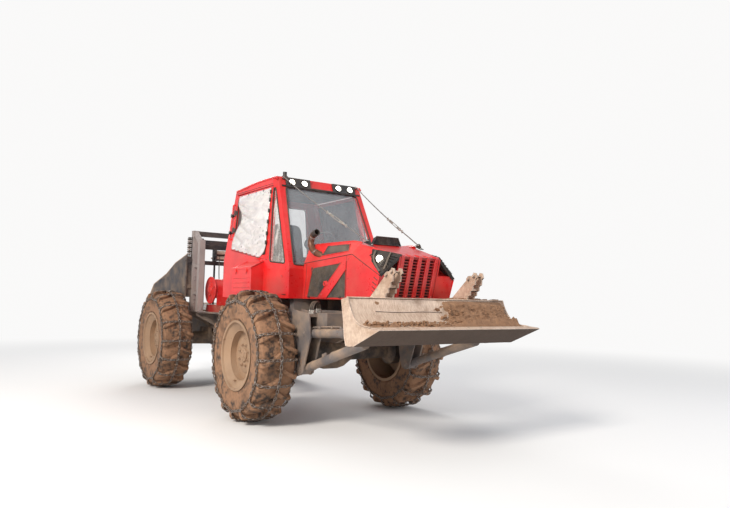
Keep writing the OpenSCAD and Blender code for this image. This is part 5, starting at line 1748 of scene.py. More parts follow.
EXHAUST_ROUTE = [
    (548, 446, 1920), (488, 466, 1950), (404, 474, 1976), (326, 474, 2014), (280, 472, 2064),
    (268, 470, 2116), (284, 468, 2166), (326, 467, 2206), (392, 466, 2224),
]
RISER_ROUTE = [
    (-336, 560, 2978), (-300, 560, 2975), (-60, 529, 2828), (180, 499, 2682), (420, 468, 2542),
    (628, 442, 2425), (884, 409, 2285), (1076, 385, 2183), (1220, 366, 2106), (1296, 356, 2066),
]
HOSE_ROUTE = [
    (0, 600, 1275.3), (0, 600, 1310), (8, 606, 1352), (24, 626, 1384), (44, 660, 1398),
    (62, 698, 1388), (74, 726, 1356), (80, 740, 1312), (80, 740, 1262.3),
]
HOSE_PLACES = (668, 704, 740)
HOSE_R = 0.009


def sided(side, x, y, z):
    """A point in millimetres on the left, side 1, or mirrored to the right, side -1."""
    return at(x, side * y, z)


def wire_rope(piece, points, radius, strands=6, pitch=0.012, twist=0.11):
    """A twisted rope along a smooth curve."""
    route, _ = smooth_route(points, radius, 8, False)
    lengths = run_lengths(route)
    count = max(2, int(lengths[-1] / pitch))
    rings, k, side = [], 0, None
    for i in range(count + 1):
        goal = lengths[-1] * i / count
        while k < len(route) - 2 and lengths[k + 1] < goal:
            k += 1
        a, b = route[k], route[k + 1]
        p = a.lerp(b, (goal - lengths[k]) / max(lengths[k + 1] - lengths[k], 1e-9))
        ahead = (b - a).normalized()
        side = frame_of(ahead)[0] if side is None else (side - ahead * side.dot(ahead)).normalized()
        other = ahead.cross(side)
        ring = []
        for j in range(2 * strands):
            t = 2 * math.pi * j / (2 * strands) + 2 * math.pi * goal / (strands * twist)
            r = radius * (1.0 if j % 2 == 0 else 0.74)
            ring.append(p + r * on_circle(t, side, other))
        rings.append(ring)
    piece.rings(rings)


def rope_clip(piece, place, along, up, size=0.01):
    """A U-bolt clip on a rope, with its two nuts."""
    along, up = along.normalized(), up.normalized()
    across = along.cross(up).normalized()
    legs = [place + across * s * size * 1.15 for s in (1, -1)]
    piece.tube(
        [legs[0] + 1.5 * size * up, legs[0], place - 1.1 * size * up, legs[1], legs[1] + 1.5 * size * up],
        size * 0.3, 6, 4,
    )
    piece.solid([place + up * h * size + across * a * size * 1.7 + along * d * size * 0.9
                 for h in (0.45, 1.0) for a in (1, -1) for d in (1, -1)])
    for leg in legs:
        piece.bolt(leg + up * size, up, size * 0.55, size * 0.6)


def make_exhaust():
    """The exhaust stack with its clamps and the sooty tip."""
    piece = Piece()
    route = [sided(-1, *p) for p in EXHAUST_ROUTE]
    piece.tube(route, 0.038, 28, 5, wall=0.0035)
    ahead = (route[-1] - route[-2]).normalized()
    piece.ring(route[-1], ahead, 0.0368, 0.003, 36, 8)
    for k in (2, 6):
        here, there = route[k], route[k + 1]
        ahead = (there - here).normalized()
        piece.rod(here, here + 0.016 * ahead, 0.0415, 32, 0.002)
        lug = here + Vector((0, -0.046, 0)) + 0.008 * ahead
        piece.box(*near(lug, (-0.006, -0.012, -0.008), (0.006, 0.006, 0.008)), 0.002)
        piece.bolt(lug + Vector((0.006, -0.006, 0)), (1, 0, 0), 0.006, 0.006)
    sooty = Piece()
    tip = (route[-1] - route[-2]).normalized()
    sooty.revolve(
        [(0.0385, -0.075), (0.041, -0.07), (0.041, 0.004), (0.033, 0.004), (0.033, -0.07)], route[-1], tip, 32
    )
    sooty.make("exhaust_tip", "front", "cast_dark", MATERIALS["dark_plastic"], smooth=40)
    piece.make("exhaust_stack", "front", "rusty_steel", smooth=40, replaces=["exhaust_pipe"])


def make_riser(side):
    """One limb riser: two runs of rope, clips, the turnbuckle, its ear on the hood and the roof anchor."""
    rope, fittings = Piece(), Piece()
    plated, black = range(2)
    points = [sided(side, *p) for p in RISER_ROUTE]
    body = points[5], points[6]
    ahead = (body[1] - body[0]).normalized()
    upward = square_up(ahead)
    eye_top, eye_low = body[0] - 0.05 * ahead, body[1] + 0.05 * ahead
    for start, end in ((points[0], eye_top), (eye_low, points[-1] - 0.03 * ahead)):
        between = [
            p for p in points if (p - start).dot(end - start) > 0.02 and (end - p).dot(end - start) > 0.02
        ]
        wire_rope(rope, [start] + between + [end], 0.0068)
        run = (end - start).normalized()
        for place, way in ((start, 1), (end, -1)):
            for k in range(2):
                spot = place + way * run * (0.07 + 0.055 * k)
                nearest = min(between + [start, end], key=lambda p: (p - spot).length)
                if (nearest - spot).length < 0.16 or len(between) < 3:
                    continue
                rope_clip(fittings, spot, run, upward)
    # Turnbuckle: an open frame with a threaded eye at each end
    for shift in (0.0125, -0.0125):
        fittings.tube(
            [body[0] + 0.01 * ahead + shift * upward, body[1] - 0.01 * ahead + shift * upward], 0.0048, 8, 1
        )
    for place, way in ((body[0], 1), (body[1], -1)):
        fittings.rod(place, place + 0.028 * way * ahead, 0.0165, 6, 0.002)
        fittings.rod(place - 0.012 * way * ahead, place, 0.0125, 6, 0.002)
        fittings.rod(place - 0.035 * way * ahead, place + 0.085 * way * ahead, 0.0072, 12, 0.001)
        fittings.ring(place - 0.05 * way * ahead, (0, 1, 0), 0.0155, 0.0048, 20, 8)
    # Ear on the hood's ridge, with the riser's shackle
    fittings.kind = black
    ear_shape = [(1258, 2044), (1268, 2066), (1286, 2084), (1308, 2086), (1328, 2068), (1356, 2016)]
    fittings.plate([sided(side, x, 352, z) for x, z in ear_shape], (0, side * 0.008, 0))
    foot = [
        sided(side, x, y, z)
        for y in (330, 376)
        for x, z in ((1248, 2052), (1248, 2060), (1364, 2014), (1364, 2023))
    ]
    fittings.solid(foot)
    fittings.kind = plated
    for x, z in ((1262, 2054), (1350, 2025)):
        fittings.bolt(sided(side, x, 341, z), (0.3, 0, 0.95), 0.008, 0.008)
    head = sided(side, 1300, 352, 2067)
    ear = head + Vector((-0.03, side * 0.004, 0))
    fittings.tube(
        near(
            ear, (0.03, side * 0.014, 0.002), (0.0, side * 0.014, 0.002), (-0.022, 0, 0.001),
            (0.0, side * -0.006, 0.002), (0.03, side * -0.006, 0.002),
        ),
        0.0055, 8, 4,
    )
    fittings.rod(*near(ear, (0.03, side * -0.01, 0.002), (0.03, side * 0.024, 0.002)), 0.0075, 12, 0.001)
    # Anchor on the roof's front edge
    anchor = points[0]
    fittings.kind = black
    fittings.box(*near(anchor, (-0.03, -0.022, -0.016), (0.024, 0.022, -0.004)), 0.003)
    fittings.kind = plated
    fittings.ring(anchor + Vector((0.008, 0, 0.004)), (0, 1, 0), 0.0135, 0.005, 20, 8)
    name = side_name(side)
    rope.make(f"riser_rope_{name}", "front", "black_paint", RISER_WIRE, smooth=50, replaces=["limb_risers"])
    fittings.make(
        f"riser_fittings_{name}", "front", "black_paint", [FITTING, MATERIALS["black_paint"]],
        replaces=["limb_risers"],
    )


def make_hoses():
    """Six hoses that loop from the box over the cheeks to the blade's lift cylinders."""
    ends = Piece()
    for side, name in ((1, "left"), (-1, "right")):
        for number, x0 in enumerate(HOSE_PLACES):
            points = [sided(side, x0 + x, y, z) for x, y, z in HOSE_ROUTE]
            route, _ = smooth_route(points, HOSE_R, 3, False)
            length = sum((b - a).length for a, b in zip(route, route[1:]))
            hose = Piece()
            hose.tube(route, HOSE_R, 14, 1)
            made = hose.make(f"lift_hose_{name}_{number + 1}", "front", "hose_rubber",
                             smooth=60, replaces=["hydraulic_hoses"])
            tuple(route[0])
            [tuple(p) for p in route]
            for foot in (points[0], points[-1]):
                base = Vector((foot.x, foot.y, foot.z - 0.001))
                ends.rod(base, base + Vector((0, 0, 0.016)), 0.0165, 6, 0.0015)
                ends.rod(*near(base, (0, 0, 0.014), (0, 0, 0.046)), 0.0128, 16, 0.002)
                for k in range(4):
                    z = 0.02 + 0.006 * k
                    ends.rod(*near(base, (0, 0, z), (0, 0, z + 0.003)), 0.0136, 16, 0.0008)
    ends.make("hose_ends", "front", "bright_rod", FITTING, smooth=40)


def make_side_box_details():
    """Ribs, lids, latches and hinges of the side boxes."""
    paint, dark = Piece(), Piece()
    for side in (1, -1):
        low, high = sorted((side * 962, side * 971))
        for z in (1560, 1620, 1680):
            paint.box(at(-860, low, z - 9), at(-380, high, z + 9), 0.004)
        edge = [
            sided(side, -916, 806, 1884), sided(side, -324, 806, 1884), sided(side, -324, 971, 1803),
            sided(side, -916, 971, 1803),
        ]
        paint.solid([p + Vector((0, 0, d)) for p in edge for d in (0, 0.006)])
        paint.solid([sided(side, x, y, z) for x in (-916, -324) for y in (966, 972) for z in (1785, 1806)])
        for x in (-780, -460):
            dark.box(
                at(x - 17, min(low, high) + side * 4 - 4, 1752),
                at(x + 17, max(low, high) + side * 6 + 4, 1800),
                0.004,
            )
            dark.box(at(x - 12, side * 978 - 5, 1730), at(x + 12, side * 978 + 5, 1790), 0.004)
        for x in (-850, -390):
            dark.rod(sided(side, x - 35, 806, 1893), sided(side, x + 35, 806, 1893), 0.009, 12, 0.002)
            dark.box(at(x - 30, side * 825 - 16, 1874), at(x + 30, side * 825 + 16, 1884), 0.002,
                     None)
    paint.make("side_box_lids", "front", "red_paint", bevel=0.001)
    dark.make("side_box_latches", "front", "red_paint", bevel=0.0008)


FITTING = worn_steel("plated_fitting", srgb(206, 200, 190), srgb(126, 120, 112), 0.2, 0.25, 3.0, 0.8)
RISER_WIRE = worn_steel("riser_wire", srgb(150, 144, 138), srgb(66, 60, 56), 0.2, 0.1, 10.0, 0.7)
make_exhaust()
for side_sign in (1, -1):
    make_riser(side_sign)
make_hoses()
make_side_box_details()


# Blade, its horns, push arms and lift cylinders

ARM_Y = 748
ARM_PIN_HALF = 71.8
HORN_Y = 550
HORN_IN, HORN_OUT = 38, 54
BLADE_CURVE = ((1946, 1448), (2030, 1200), (2231, 1186))
LIFT_BARREL = 730


def bow_point(a, b, c, t):
    return tuple((1 - t) ** 2 * a[k] + 2 * t * (1 - t) * b[k] + t * t * c[k] for k in (0, 1))


def blade_face(t, y, lift=0.0):
    """A point on the blade's hollow front, from its top edge at t = 0 to the lip's root at t = 1."""
    x, z = bow_point(*BLADE_CURVE, t)
    nearby = bow_point(*BLADE_CURVE, min(t + 0.01, 1.01))
    along = Vector((nearby[0] - x, 0, nearby[1] - z)).normalized()
    return at(x, y, z) + lift * Vector((-along.z, 0, along.x))


def lip_point(share, y, lift=0.0):
    """A point on the lip's top, from its root at share = 0 to the cutting edge at 1."""
    return at(2231 + 234 * share, y, 1186 - 20 * share) + Vector((0, 0, lift))


def smooth_step(x):
    """0 below 0, 1 above 1, a smooth rise between."""
    x = min(max(x, 0.0), 1.0)
    return x * x * (3 - 2 * x)


def make_blade_edges():
    """The bolted cutting edge, rolled rims and weld runs of the blade."""
    edge = Piece()
    # Bolted cutting edge in two lengths
    for low, high in ((-1046, -4), (4, 1046)):
        edge.solid([
            lip_point(s, y, h)
            for y in (low, high)
            for s, h in ((0.42, 0.0005), (0.44, 0.011), (0.93, 0.011), (1.0, 0.003), (1.0, 0.0005))
        ])
        for k in range(6):
            y = low + 90 + k * 172
            edge.rod(lip_point(0.62, y, 0.009), lip_point(0.62, y, 0.0145), 0.0155, 16, 0.0025)
    # Rolled top edge, end plates and welds
    edge.tube(
        [blade_face(0.0, y, 0.002) + Vector((0, 0, 0.002)) for y in (-1047, -350, 350, 1047)], 0.0085, 10, 2
    )
    for side in (1, -1):
        rim = [
            blade_face(t / 10, side * 1041, 0.006) for t in range(11)
        ] + [lip_point(s, side * 1041, 0.007) for s in (0.2, 0.38)]
        edge.tube(rim, 0.0075, 8, 2)
        inner = [
            blade_face(t / 10, side * 1028, 0.003) for t in range(11)
        ] + [lip_point(0.36, side * 1028, 0.004)]
        edge.tube(inner, 0.0048, 6, 2)
        edge.tube(
            [
                at(1862, side * 1049, 1430), at(1900, side * 1049, 1250), at(1945, side * 1049, 1020),
                at(2070, side * 1049, 1006),
            ],
            0.006, 6, 3,
        )
    for y in (-688, -250, 250, 688):
        for off in (-12, 12):
            edge.tube(
                [at(1990, y + off, 1003), at(2068, y + off, 1004), at(2180, y + off, 1060)], 0.0035, 5, 3
            )
    # Scuffed weld runs across the hollow
    for t, y0, y1 in ((0.30, -760, 120), (0.66, -700, 130)):
        edge.tube(
            [blade_face(t + 0.01 * math.sin(0.01 * y), y, 0.002) for y in range(y0, y1, 60)], 0.0065, 6, 2
        )
    edge.make("blade_edges", "blade_frame", "worn_steel", smooth=40)


def add_earth_bed(soil):
    """Earth packed in the hollow: a thin bed to the right, a heap to the left up to the top edge."""
    rows, columns = 30, 170
    loops = []
    for j in range(rows + 1):
        t = 0.02 + 1.06 * j / rows
        row_top, row_low = [], []
        for i in range(columns + 1):
            y = -1022 + 2044 * i / columns
            spot = Vector((t * 3.4, y / 240, 0.4))
            clump = noise.fractal(spot, 0.9, 2.1, 6)
            lumps = abs(noise.fractal(spot * 3.1, 0.7, 2.2, 4))
            heap = smooth_step((y + 60) / 520) * smooth_step(1.5 - abs(t - 0.62) * 1.1)
            bed = smooth_step((t - 0.62) / 0.3)
            height = 0.062 * heap + 0.026 * bed + 0.030 * clump + 0.028 * lumps * max(heap, bed) - 0.022
            ends = min(1.0, i / 5, (columns - i) / 5) * min(1.0, j / 3, (rows - j) / 3)
            height = max(0.0, height) * ends
            spread = min(t, 1.0)
            top = blade_face(spread, y, height - 0.0014)
            low = blade_face(spread, y, -0.006)
            if t > 1.0:
                shift = lip_point((t - 1.0) * 2.6, y) - lip_point(0.0, y)
                top, low = top + shift, low + shift
            row_top.append(top)
            row_low.append(low)
        loops.append(row_top + row_low[::-1])
    soil.rings(loops)


def add_clods(soil):
    """Loose clods on the earth and along the blade's top edge."""
    dice = random.Random(7)
    for k in range(210):
        y = dice.uniform(-1000, 1000) if k % 3 else dice.uniform(-100, 1000)
        t = dice.uniform(0.72, 1.0) if y < 0 else dice.uniform(0.15, 1.0)
        size = dice.uniform(0.006, 0.024)
        heart = blade_face(t, y, size * 0.5 + (0.03 if y > 100 else 0.008))
        soil.solid([
            heart + size * Vector(
                (dice.uniform(-1, 1), dice.uniform(-1, 1), dice.uniform(-0.7, 0.7))
            ).normalized()
            for _ in range(12)
        ])
    for k in range(60):
        y = dice.uniform(60, 1010)
        size = dice.uniform(0.010, 0.030)
        heart = at(1902 + dice.uniform(-24, 30), y, 1446) + Vector((0, 0, size * 0.35))
        soil.solid([
            heart + size * Vector((dice.uniform(-1, 1), dice.uniform(-1.6, 1.6), dice.uniform(-0.5, 0.6)))
            for _ in range(12)
        ])


def make_earth():
    soil = Piece()
    add_earth_bed(soil)
    add_clods(soil)
    soil.make("blade_earth", "blade_frame", "worn_steel", EARTH, smooth=60)


def make_horn_details():
    """Pins and welds of the horns on the blade's top edge."""
    piece = Piece()
    for side in (1, -1):
        for x, z in ((2048, 1706), (1966, 1676)):
            a, b = [sided(side, x, HORN_Y + way * (HORN_OUT + 10), z) for way in (-1, 1)]
            piece.rod(a, b, 0.012, 20, 0.002)
            for place, out in ((a, -side), (b, side)):
                piece.bolt(place - Vector((0, out * 0.002, 0)), (0, out, 0), 0.0165, 0.012)
        for x, z in ((1985, 1560), (1860, 1470)):
            piece.rod(*[sided(side, x, HORN_Y + way * HORN_IN, z) for way in (-1, 1)], 0.022, 20, 0.001)
        for y in [HORN_Y + way for way in (-HORN_OUT, -HORN_IN, HORN_IN, HORN_OUT)]:
            piece.tube(
                [sided(side, 1862, y, 1436), sided(side, 1905, y, 1444), sided(side, 1944, y, 1451)],
                0.006, 6, 2,
            )
    piece.make("horn_pins", "blade_frame", "worn_steel", smooth=40)


def make_arm_details():
    """Collars, weld beads and pin keepers on the push arms."""
    piece = Piece()
    for side in (1, -1):
        a, b = sided(side, 694, ARM_Y, 652), sided(side, 1850, ARM_Y, 1013)
        run = (b - a).normalized()
        joint = a.lerp(b, 0.52)
        piece.rod(joint - 0.02 * run, joint + 0.012 * run, 0.055, 28, 0.005)
        for share in (0.16, 0.93):
            place = a.lerp(b, share)
            piece.ring(place, run, 0.048 if share < 0.5 else 0.052, 0.004, 32, 8)
        up = square_up(run)
        lug = a.lerp(b, 0.36)
        piece.solid([
            lug + run * s * 0.05 + up * h + Vector((0, w, 0))
            for s, h in ((-1, 0.03), (1, 0.03), (-0.7, 0.075), (0.7, 0.075))
            for w in (-0.008, 0.008)
        ])
        for out in (1, -1):
            end = sided(side, 694, ARM_Y + out * ARM_PIN_HALF, 652)
            face = Vector((0, side * out, 0))
            piece.rod(end, end + 0.006 * face, 0.034, 24, 0.002)
            piece.bolt(end + Vector((0.012, 0, 0.01)) + 0.006 * face, face, 0.008, 0.006)
            piece.bolt(end + Vector((-0.012, 0, -0.01)) + 0.006 * face, face, 0.008, 0.006)
            piece.rod(end + 0.005 * face, end + 0.016 * face, 0.004, 8, 0.001)
    piece.make("arm_collars", "blade_frame", "frame_paint", smooth=40)


def make_lift_details():
    """Glands and pipes on the lift barrels, and wipers of the rods."""
    barrel = Piece()
    for side in (1, -1):
        a, b = sided(side, 771, ARM_Y, 1048), sided(side, 1800, ARM_Y, 1105)
        run = (b - a).normalized()
        up = square_up(run)
        end = LIFT_BARREL / 1000
        gland = a + (end - 0.001) * run
        barrel.revolve(
            [(0.031, 0.012), (0.044, 0.012), (0.05, 0.006), (0.05, -0.001), (0.031, -0.001)], gland, run, 40
        )
        for t in around(6):
            out = on_circle(t, up, Vector((0, 1, 0)))
            barrel.bolt(gland + 0.0405 * out + 0.009 * run, run, 0.0052, 0.005)
        for share in (0.2, 0.55):
            barrel.ring(a + share * end * run, run, 0.0485, 0.003, 36, 6)
        side_way = Vector((0, side, 0))
        for shift, start, stop in ((0.018, 0.12, 0.9), (-0.018, 0.12, 0.2)):
            path = [a + start * end * run + 0.046 * up + shift * side_way,
                    a + (start * end + 0.012) * run + 0.066 * up + shift * side_way,
                    a + (stop * end - 0.03) * run + 0.066 * up + shift * side_way,
                    a + stop * end * run + 0.05 * up + shift * side_way]
            barrel.tube(path, 0.0065, 8, 4)
            for place in (path[0], path[3]):
                barrel.rod(place - 0.006 * up, place + 0.012 * up, 0.0125, 6, 0.002)
        for share in (0.35, 0.68):
            spot = a + share * end * run + 0.066 * up
            barrel.solid([
                spot + run * s * 0.012 + up * h + side_way * w
                for s in (-1, 1)
                for h in (-0.02, 0.011)
                for w in (-0.03, 0.03)
            ])
            barrel.bolt(spot + 0.011 * up, up, 0.006, 0.005)
        for out in (1, -1):
            place = sided(side, 771, ARM_Y + out * ARM_PIN_HALF, 1048)
            face = Vector((0, side * out, 0))
            barrel.rod(place, place + 0.005 * face, 0.03, 24, 0.002)
            barrel.bolt(place + 0.005 * face, face, 0.009, 0.007)
    barrel.make("lift_cylinder_fittings", "lift_barrel", "frame_paint", smooth=40)


make_blade_edges()
make_earth()
make_horn_details()
make_arm_details()
make_lift_details()


# Rear half: winch, tower, shield, frame

WINCH = at(-2830, 0, 1535)
POST_X, FRONT_POST_X, POST_Y, POST_TOP = -3200, -2900, 650, 2500
DECK_Z = 1190
ROPE_R = 0.0082
# Each rope roller's height, and how far it sits forward of the lower one
ROLLERS = ((2075, 0), (2160, 8.5))
ROLLER_X = -3180


def make_rope_coils():
    """Wire rope wound on the drum in two layers, on both sides of the winch's middle."""
    piece = Piece()
    for side in (1, -1):
        for layer, turns in ((0, 21), (1, 13)):
            radius, low, high = 0.119 + 0.0155 * layer, 0.108, 0.108 + 0.0172 * turns
            points = []
            for k in range(turns * 20 + 1):
                t = 2 * math.pi * k / 20
                wander = 0.002 * math.sin(t * 0.31 + 5 * layer)
                y = low + (high - low) * k / (turns * 20)
                points.append(
                    WINCH + Vector(
                        (radius * math.cos(t + side), side * (y + wander), radius * math.sin(t + side))
                    )
                )
            piece.tube(points, ROPE_R, 6, 1)
    piece.make("winch_rope", "winch", "worn_steel", ROPE, smooth=60)


def make_winch_details():
    """Rims, hubs, bolts and ribs of the winch discs, and the motor's housing."""
    turning, fixed = Piece(), Piece()
    for side in (1, -1):
        out = Vector((0, side, 0))
        face = WINCH + 0.5 * out
        turning.revolve(
            [(0.2, -0.001), (0.215, -0.001), (0.2185, 0.003), (0.214, 0.008), (0.204, 0.008), (0.2, 0.003)],
            face, out, 64,
        )
        turning.revolve(
            [
                (0.001, 0.0), (0.085, 0.0), (0.085, 0.01), (0.078, 0.014), (0.05, 0.014), (0.045, 0.03),
                (0.001, 0.032),
            ],
            face, out, 40,
        )
        for t in around(8):
            spot = face + 0.064 * Vector((math.cos(t), 0, math.sin(t)))
            turning.bolt(spot + 0.014 * out, out, 0.0085, 0.007)
        for t in around(5, 0.3):
            ray = Vector((math.cos(t), 0, math.sin(t)))
            across = Vector((-ray.z, 0, ray.x))
            turning.solid([
                face + r * ray + w * across + d * out
                for r, w0 in ((0.084, 0.012), (0.196, 0.007))
                for w in (-w0, w0)
                for d in (-0.001, 0.006)
            ])
        for t in around(10):
            fixed_spot = WINCH + 0.0725 * out + 0.1 * Vector((math.cos(t), 0, math.sin(t)))
            if math.sin(t) > -0.8:
                fixed.rod(fixed_spot - 0.002 * out, fixed_spot + 0.004 * out, 0.009, 6, 0.001)
    turning.make("winch_discs", "winch", "red_paint", smooth=40)
    # Housing: motor, brake cylinder, foot bolts and ribs
    for low_y, high_y in ((-0.072, -0.05), (0.05, 0.072)):
        fixed.solid([
            WINCH + Vector((x, y, z))
            for y in (low_y, high_y)
            for x, z in (
                (-0.176, -0.232), (0.176, -0.232), (0.136, 0.088), (0.076, 0.2), (-0.076, 0.2),
                (-0.136, 0.088),
            )
        ])
    fixed.rod(*near(WINCH, (0.115, 0, 0.03), (0.225, 0, 0.03)), 0.056, 28, 0.008)
    fixed.rod(*near(WINCH, (0.215, 0, 0.03), (0.29, 0, 0.03)), 0.041, 24, 0.006)
    for z in (0.06, 0.0):
        fixed.rod(*near(WINCH, (0.252, 0.034, z), (0.252, 0.07, z)), 0.013, 6, 0.002)
    fixed.rod(*near(WINCH, (-0.03, 0, 0.19), (-0.03, 0, 0.222)), 0.02, 20, 0.004)
    for side in (1, -1):
        for x in (-0.21, 0.21):
            for y in (0.42, 0.28, 0.14):
                fixed.bolt(
                    WINCH + Vector((x * 0.975, side * y, -0.262)), (math.copysign(0.25, x), 0, 1), 0.013,
                    0.011,
                )
    fixed.make("winch_motor", "rear", "deep_red_paint", smooth=40, bevel=0.001)


def add_tower_side(side, steel, rings, dark):
    """Feet, gussets, bolts, roller bearings, buffer rings and lamps of one post."""
    for x in (POST_X, FRONT_POST_X):
        steel.box(at(x - 74, side * POST_Y - 66, 1190.5), at(x + 74, side * POST_Y + 44, 1206), 0.002)
        for dx in (-58, 58):
            for dy in (-30, 26):
                steel.bolt(at(x + dx, side * POST_Y + dy, 1206), (0, 0, 1), 0.013, 0.011)
        for dx in (-1, 1):
            steel.solid([at(x + dx * 44, side * POST_Y + w, 1205) for w in (-5, 5)]
                        + [at(x + dx * 72, side * POST_Y + w, 1205) for w in (-5, 5)]
                        + [at(x + dx * 44, side * POST_Y + w, 1300) for w in (-5, 5)])
    steel.box(
        at(POST_X - 49, side * POST_Y - 49, POST_TOP - 4),
        at(POST_X + 49, side * POST_Y + 49, POST_TOP + 5),
        0.002,
    )
    # Corner gussets between the post and the beams
    for z, way in ((2215, -1), (2290, 1), (1955, -1), (2020, 1), (2420, -1)):
        inner = POST_Y - 45
        steel.solid([at(POST_X + w, side * inner, z) for w in (-6, 6)]
                    + [at(POST_X + w, side * (inner - 60), z) for w in (-6, 6)]
                    + [at(POST_X + w, side * inner, z + way * 60) for w in (-6, 6)])
    for z in (1330, 1385, 1700, 1760):
        steel.bolt(at(POST_X + 45, side * POST_Y, z), (1, 0, 0), 0.012, 0.01)
    # Bearing housings of the rope rollers
    for z, shift in ROLLERS:
        heart = at(ROLLER_X + shift, side * 320.5, z)
        steel.rod(heart, heart + Vector((0, side * 0.014, 0)), 0.034, 28, 0.003)
        for k in range(4):
            t = math.pi * (0.25 + 0.5 * k)
            steel.bolt(
                heart + Vector((0.026 * math.cos(t), side * 0.013, 0.026 * math.sin(t))),
                (0, side, 0), 0.006, 0.005,
            )
    # Rubber buffer rings stacked outside the post's head, black and pale in turn
    stack_y = side * (POST_Y + 87)
    for k in range(8):
        heart = at(POST_X - 12, stack_y, 2126 + k * 34)
        (rings if k % 2 else steel).ring(heart, (0, 0, 1), 0.024, 0.0145, 28, 10)
    dark.rod(at(POST_X - 12, stack_y, 2092), at(POST_X - 12, stack_y, 2398), 0.011, 16, 0.003)
    for z in (2100, 2390):
        low, high = sorted((side * (POST_Y + 40), side * (POST_Y + 112)))
        dark.box(at(POST_X - 36, low, z - 5), at(POST_X + 12, high, z + 5), 0.002)
    # Work lamp under the top beam and tail lamp on the post
    heart = at(POST_X - 46, side * 520, 2392)
    dark.box(*near(heart, (-0.04, -0.03, -0.062), (0.02, 0.03, 0.002)), 0.008)
    dark.kind = 1
    dark.box(*near(heart, (-0.043, -0.024, -0.055), (-0.039, 0.024, -0.006)), 0.0015)
    dark.kind = 0


def make_rope_rollers():
    """The two grooved rollers that guide the winch ropes."""
    for z, shift in ROLLERS:
        heart = at(ROLLER_X + shift, 0, z)
        profile = [(0.0125, -0.298)]
        for k in range(13):
            y = -0.29 + 0.58 * k / 12
            profile += [(0.0445, y - 0.012), (0.0405, y)] if k % 2 else [
                (0.0445, y - 0.008), (0.0445, y + 0.008)
            ]
        profile += [(0.0445, 0.296), (0.0125, 0.298)]
        roller = Piece()
        roller.revolve(profile, heart, (0, 1, 0), 40)
        roller.rod(*near(heart, (0, -0.3, 0), (0, 0.3, 0)), 0.0135, 16, 0.001)
        roller.make(f"rope_roller_{'upper' if z > 2100 else 'lower'}", "rear", "worn_steel",
                    smooth=40, replaces=["tower_rollers"])


def make_tower_details():
    """Fittings of both posts, the rollers and the grille's dark uprights."""
    steel, rings, dark = Piece(), Piece(), Piece()
    for side in (1, -1):
        add_tower_side(side, steel, rings, dark)
    # Dark uprights of the grille that keeps logs off the winch
    for y in (-480, -300, -120, 120, 300, 480):
        dark.box(at(POST_X - 24, y - 13, DECK_Z), at(POST_X + 2, y + 13, 2006), 0.002)
        dark.box(at(POST_X - 30, y - 20, DECK_Z - 1), at(POST_X + 8, y + 20, DECK_Z + 10), 0.002)
    make_rope_rollers()
    steel.make("tower_fittings", "rear", "tower_paint", smooth=40)
    rings.make("tower_buffers", "rear", "hose_rubber", SEAL, smooth=60)
    dark.make("tower_lamps", "rear", "black_paint", [MATERIALS["black_paint"], LAMP_GLASS], smooth=40)


def make_shield_details():
    """The rim, closing plates and ribs of the rear shield."""
    piece, rim = Piece(), Piece()
    top = [(-3166, 2106), (-3700, 1987), (-4612, 1637), (-4794, 1403), (-4700, 1306)]

    def cheek_y(x):
        return 790 if x > -4150 else 790 + 100 * (-4150 - x) / 650

    for side in (1, -1):
        line = []
        for (x0, z0), (x1, z1) in zip(top, top[1:]):
            for k in range(6):
                t = k / 6
                x, z = x0 + (x1 - x0) * t, z0 + (z1 - z0) * t
                line.append(at(x, side * cheek_y(x), z))
        line.append(at(*[top[-1][0], side * cheek_y(top[-1][0]), top[-1][1]]))
        rim.tube(line, 0.0125, 10, 1)
        # Closing plate between the shield and the tower's post
        piece.solid([
            at(x, side * y, z)
            for x in (-3196, -3190)
            for y, z in ((694, 1420), (786, 1420), (694, 2085), (786, 2085))
        ])
        for z in (1590, 2010):
            for x in (-3216, -3184):
                piece.bolt(at(x, side * 800, z), (0, side, 0), 0.013, 0.01)
    for y in (-600, -200, 200, 600):
        piece.solid([
            at(-4300, y - 7, 1208), at(-4300, y + 7, 1208), at(-4696, y - 7, 1318), at(-4696, y + 7, 1318),
            at(-4300, y - 7, 1222), at(-4300, y + 7, 1222), at(-4690, y - 7, 1330), at(-4690, y + 7, 1330),
        ])
    piece.tube([at(-4706, -815, 1309), at(-4706, 0, 1309), at(-4706, 815, 1309)], 0.0115, 10, 2)
    piece.make("shield_ribs", "rear", "shield_paint", smooth=40)
    rim.make("shield_rim", "rear", "worn_steel", smooth=60)


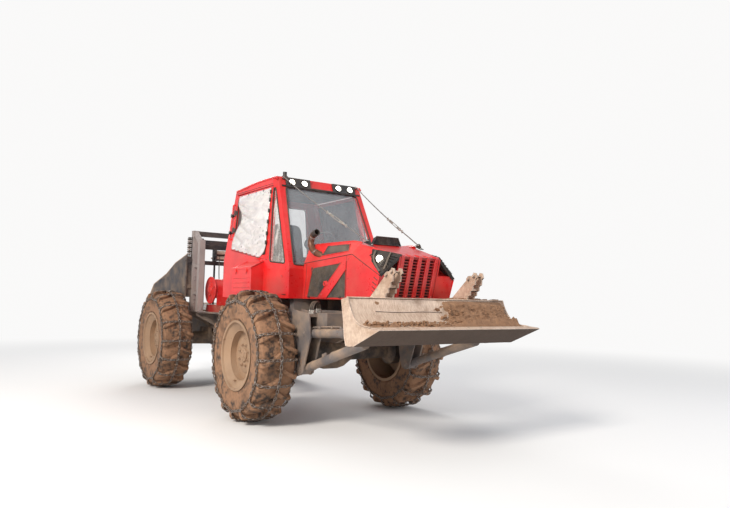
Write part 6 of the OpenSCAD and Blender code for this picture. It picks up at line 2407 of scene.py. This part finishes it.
def make_winch_guards():
    """A rolled red sheet beside the drum on each side, from the base up and over it, and the ropes."""
    guards, ropes, ends = Piece(), Piece(), Piece()
    outer = [(0.205, -0.236), (0.204, -0.16), (0.198, -0.08), (0.19, -0.03)]
    for k in range(13):
        t = math.radians(-4 + 122 * k / 12)
        outer.append((0.182 * math.cos(t), 0.182 * math.sin(t)))
    inner = [(x * 0.966, z * 0.966 if z > -0.2 else z) for x, z in outer]
    for side in (1, -1):
        low, high = sorted((side * 0.108, side * 0.472))
        rings = [[WINCH + Vector((x, y, z)) for x, z in outer + inner[::-1]] for y in (low, high)]
        guards.rings(rings)
        # Rolled ends and two straps
        for y in (side * 0.1155, side * 0.29, side * 0.466):
            guards.tube([WINCH + Vector((x * 1.012, y, z * 1.012)) for x, z in outer[1:]], 0.0075, 8, 1)
        for y in (side * 0.14, side * 0.41):
            guards.bolt(WINCH + Vector((0.2045, y, -0.2)), (1, 0, 0.02), 0.011, 0.009)
    guards.make("winch_guards", "rear", "red_paint", smooth=40)
    # Two ropes run taut from the drum's back up between the rollers, with their hooks pulled home behind them
    for y in (0.215, -0.3):
        foot = WINCH + Vector((-0.133, y, 0.03))
        head = at(-3176, 1000 * y * 0.82, 2117)
        back = at(-3262, 1000 * y * 0.82, 2112)
        ropes.tube([foot, foot.lerp(head, 0.5), head - Vector((-0.03, 0, 0.035)), head, back], 0.0085, 10, 3)
        ends.rod(*near(back, (0.02, 0, 0.001), (-0.075, 0, -0.004)), 0.019, 20, 0.003)
        ends.ring(back - Vector((0.108, 0, 0.006)), (0, 1, 0), 0.034, 0.0095, 28, 10)
        ends.ring(back - Vector((0.15, 0, 0.028)), (0.4, 0, 1), 0.03, 0.0105, 28, 10)
    ropes.make("winch_lines", "rear", "worn_steel", ROPE, smooth=60)
    ends.make("winch_line_hooks", "rear", "worn_steel", smooth=50)


def make_rear_deck():
    """Raised lozenges of the deck's tread plate, and its screws."""
    piece = Piece()
    for i in range(30):
        for j in range(17):
            x, y = -2545 + i * 27, -560 + j * 70 + (35 if i % 2 else 0)
            if x > -1990 or abs(y) > 585:
                continue
            turn = math.radians(45 if (i + j) % 2 else -45)
            ahead = Vector((math.cos(turn), math.sin(turn), 0)) * 0.013
            across = Vector((-math.sin(turn), math.cos(turn), 0)) * 0.004
            heart = at(x, y, DECK_Z)
            top = Vector((0, 0, 0.0022))
            piece.add(
                [
                    heart + ahead, heart + across, heart - ahead, heart - across, heart + 0.4 * ahead + top,
                    heart - 0.4 * ahead + top,
                ],
                [(0, 1, 4), (1, 2, 5), (1, 5, 4), (2, 3, 5), (3, 0, 4), (3, 4, 5), (3, 2, 1, 0)],
            )
    for x in (-2580, -2020):
        for y in (-560, -190, 190, 560):
            piece.rod(at(x, y, 1189.5), at(x, y, 1193), 0.011, 16, 0.0012)
    piece.make("deck_tread", "rear", "frame_paint", smooth=30)


LAMP_GLASS = plain("lamp_glass", srgb(196, 198, 200), 0.1, 0.0, 120, 0.1, 0.25)
make_rope_coils()
make_winch_details()
make_winch_guards()
make_tower_details()
make_shield_details()
make_rear_deck()


# The finished object

paint_cad_nodes()
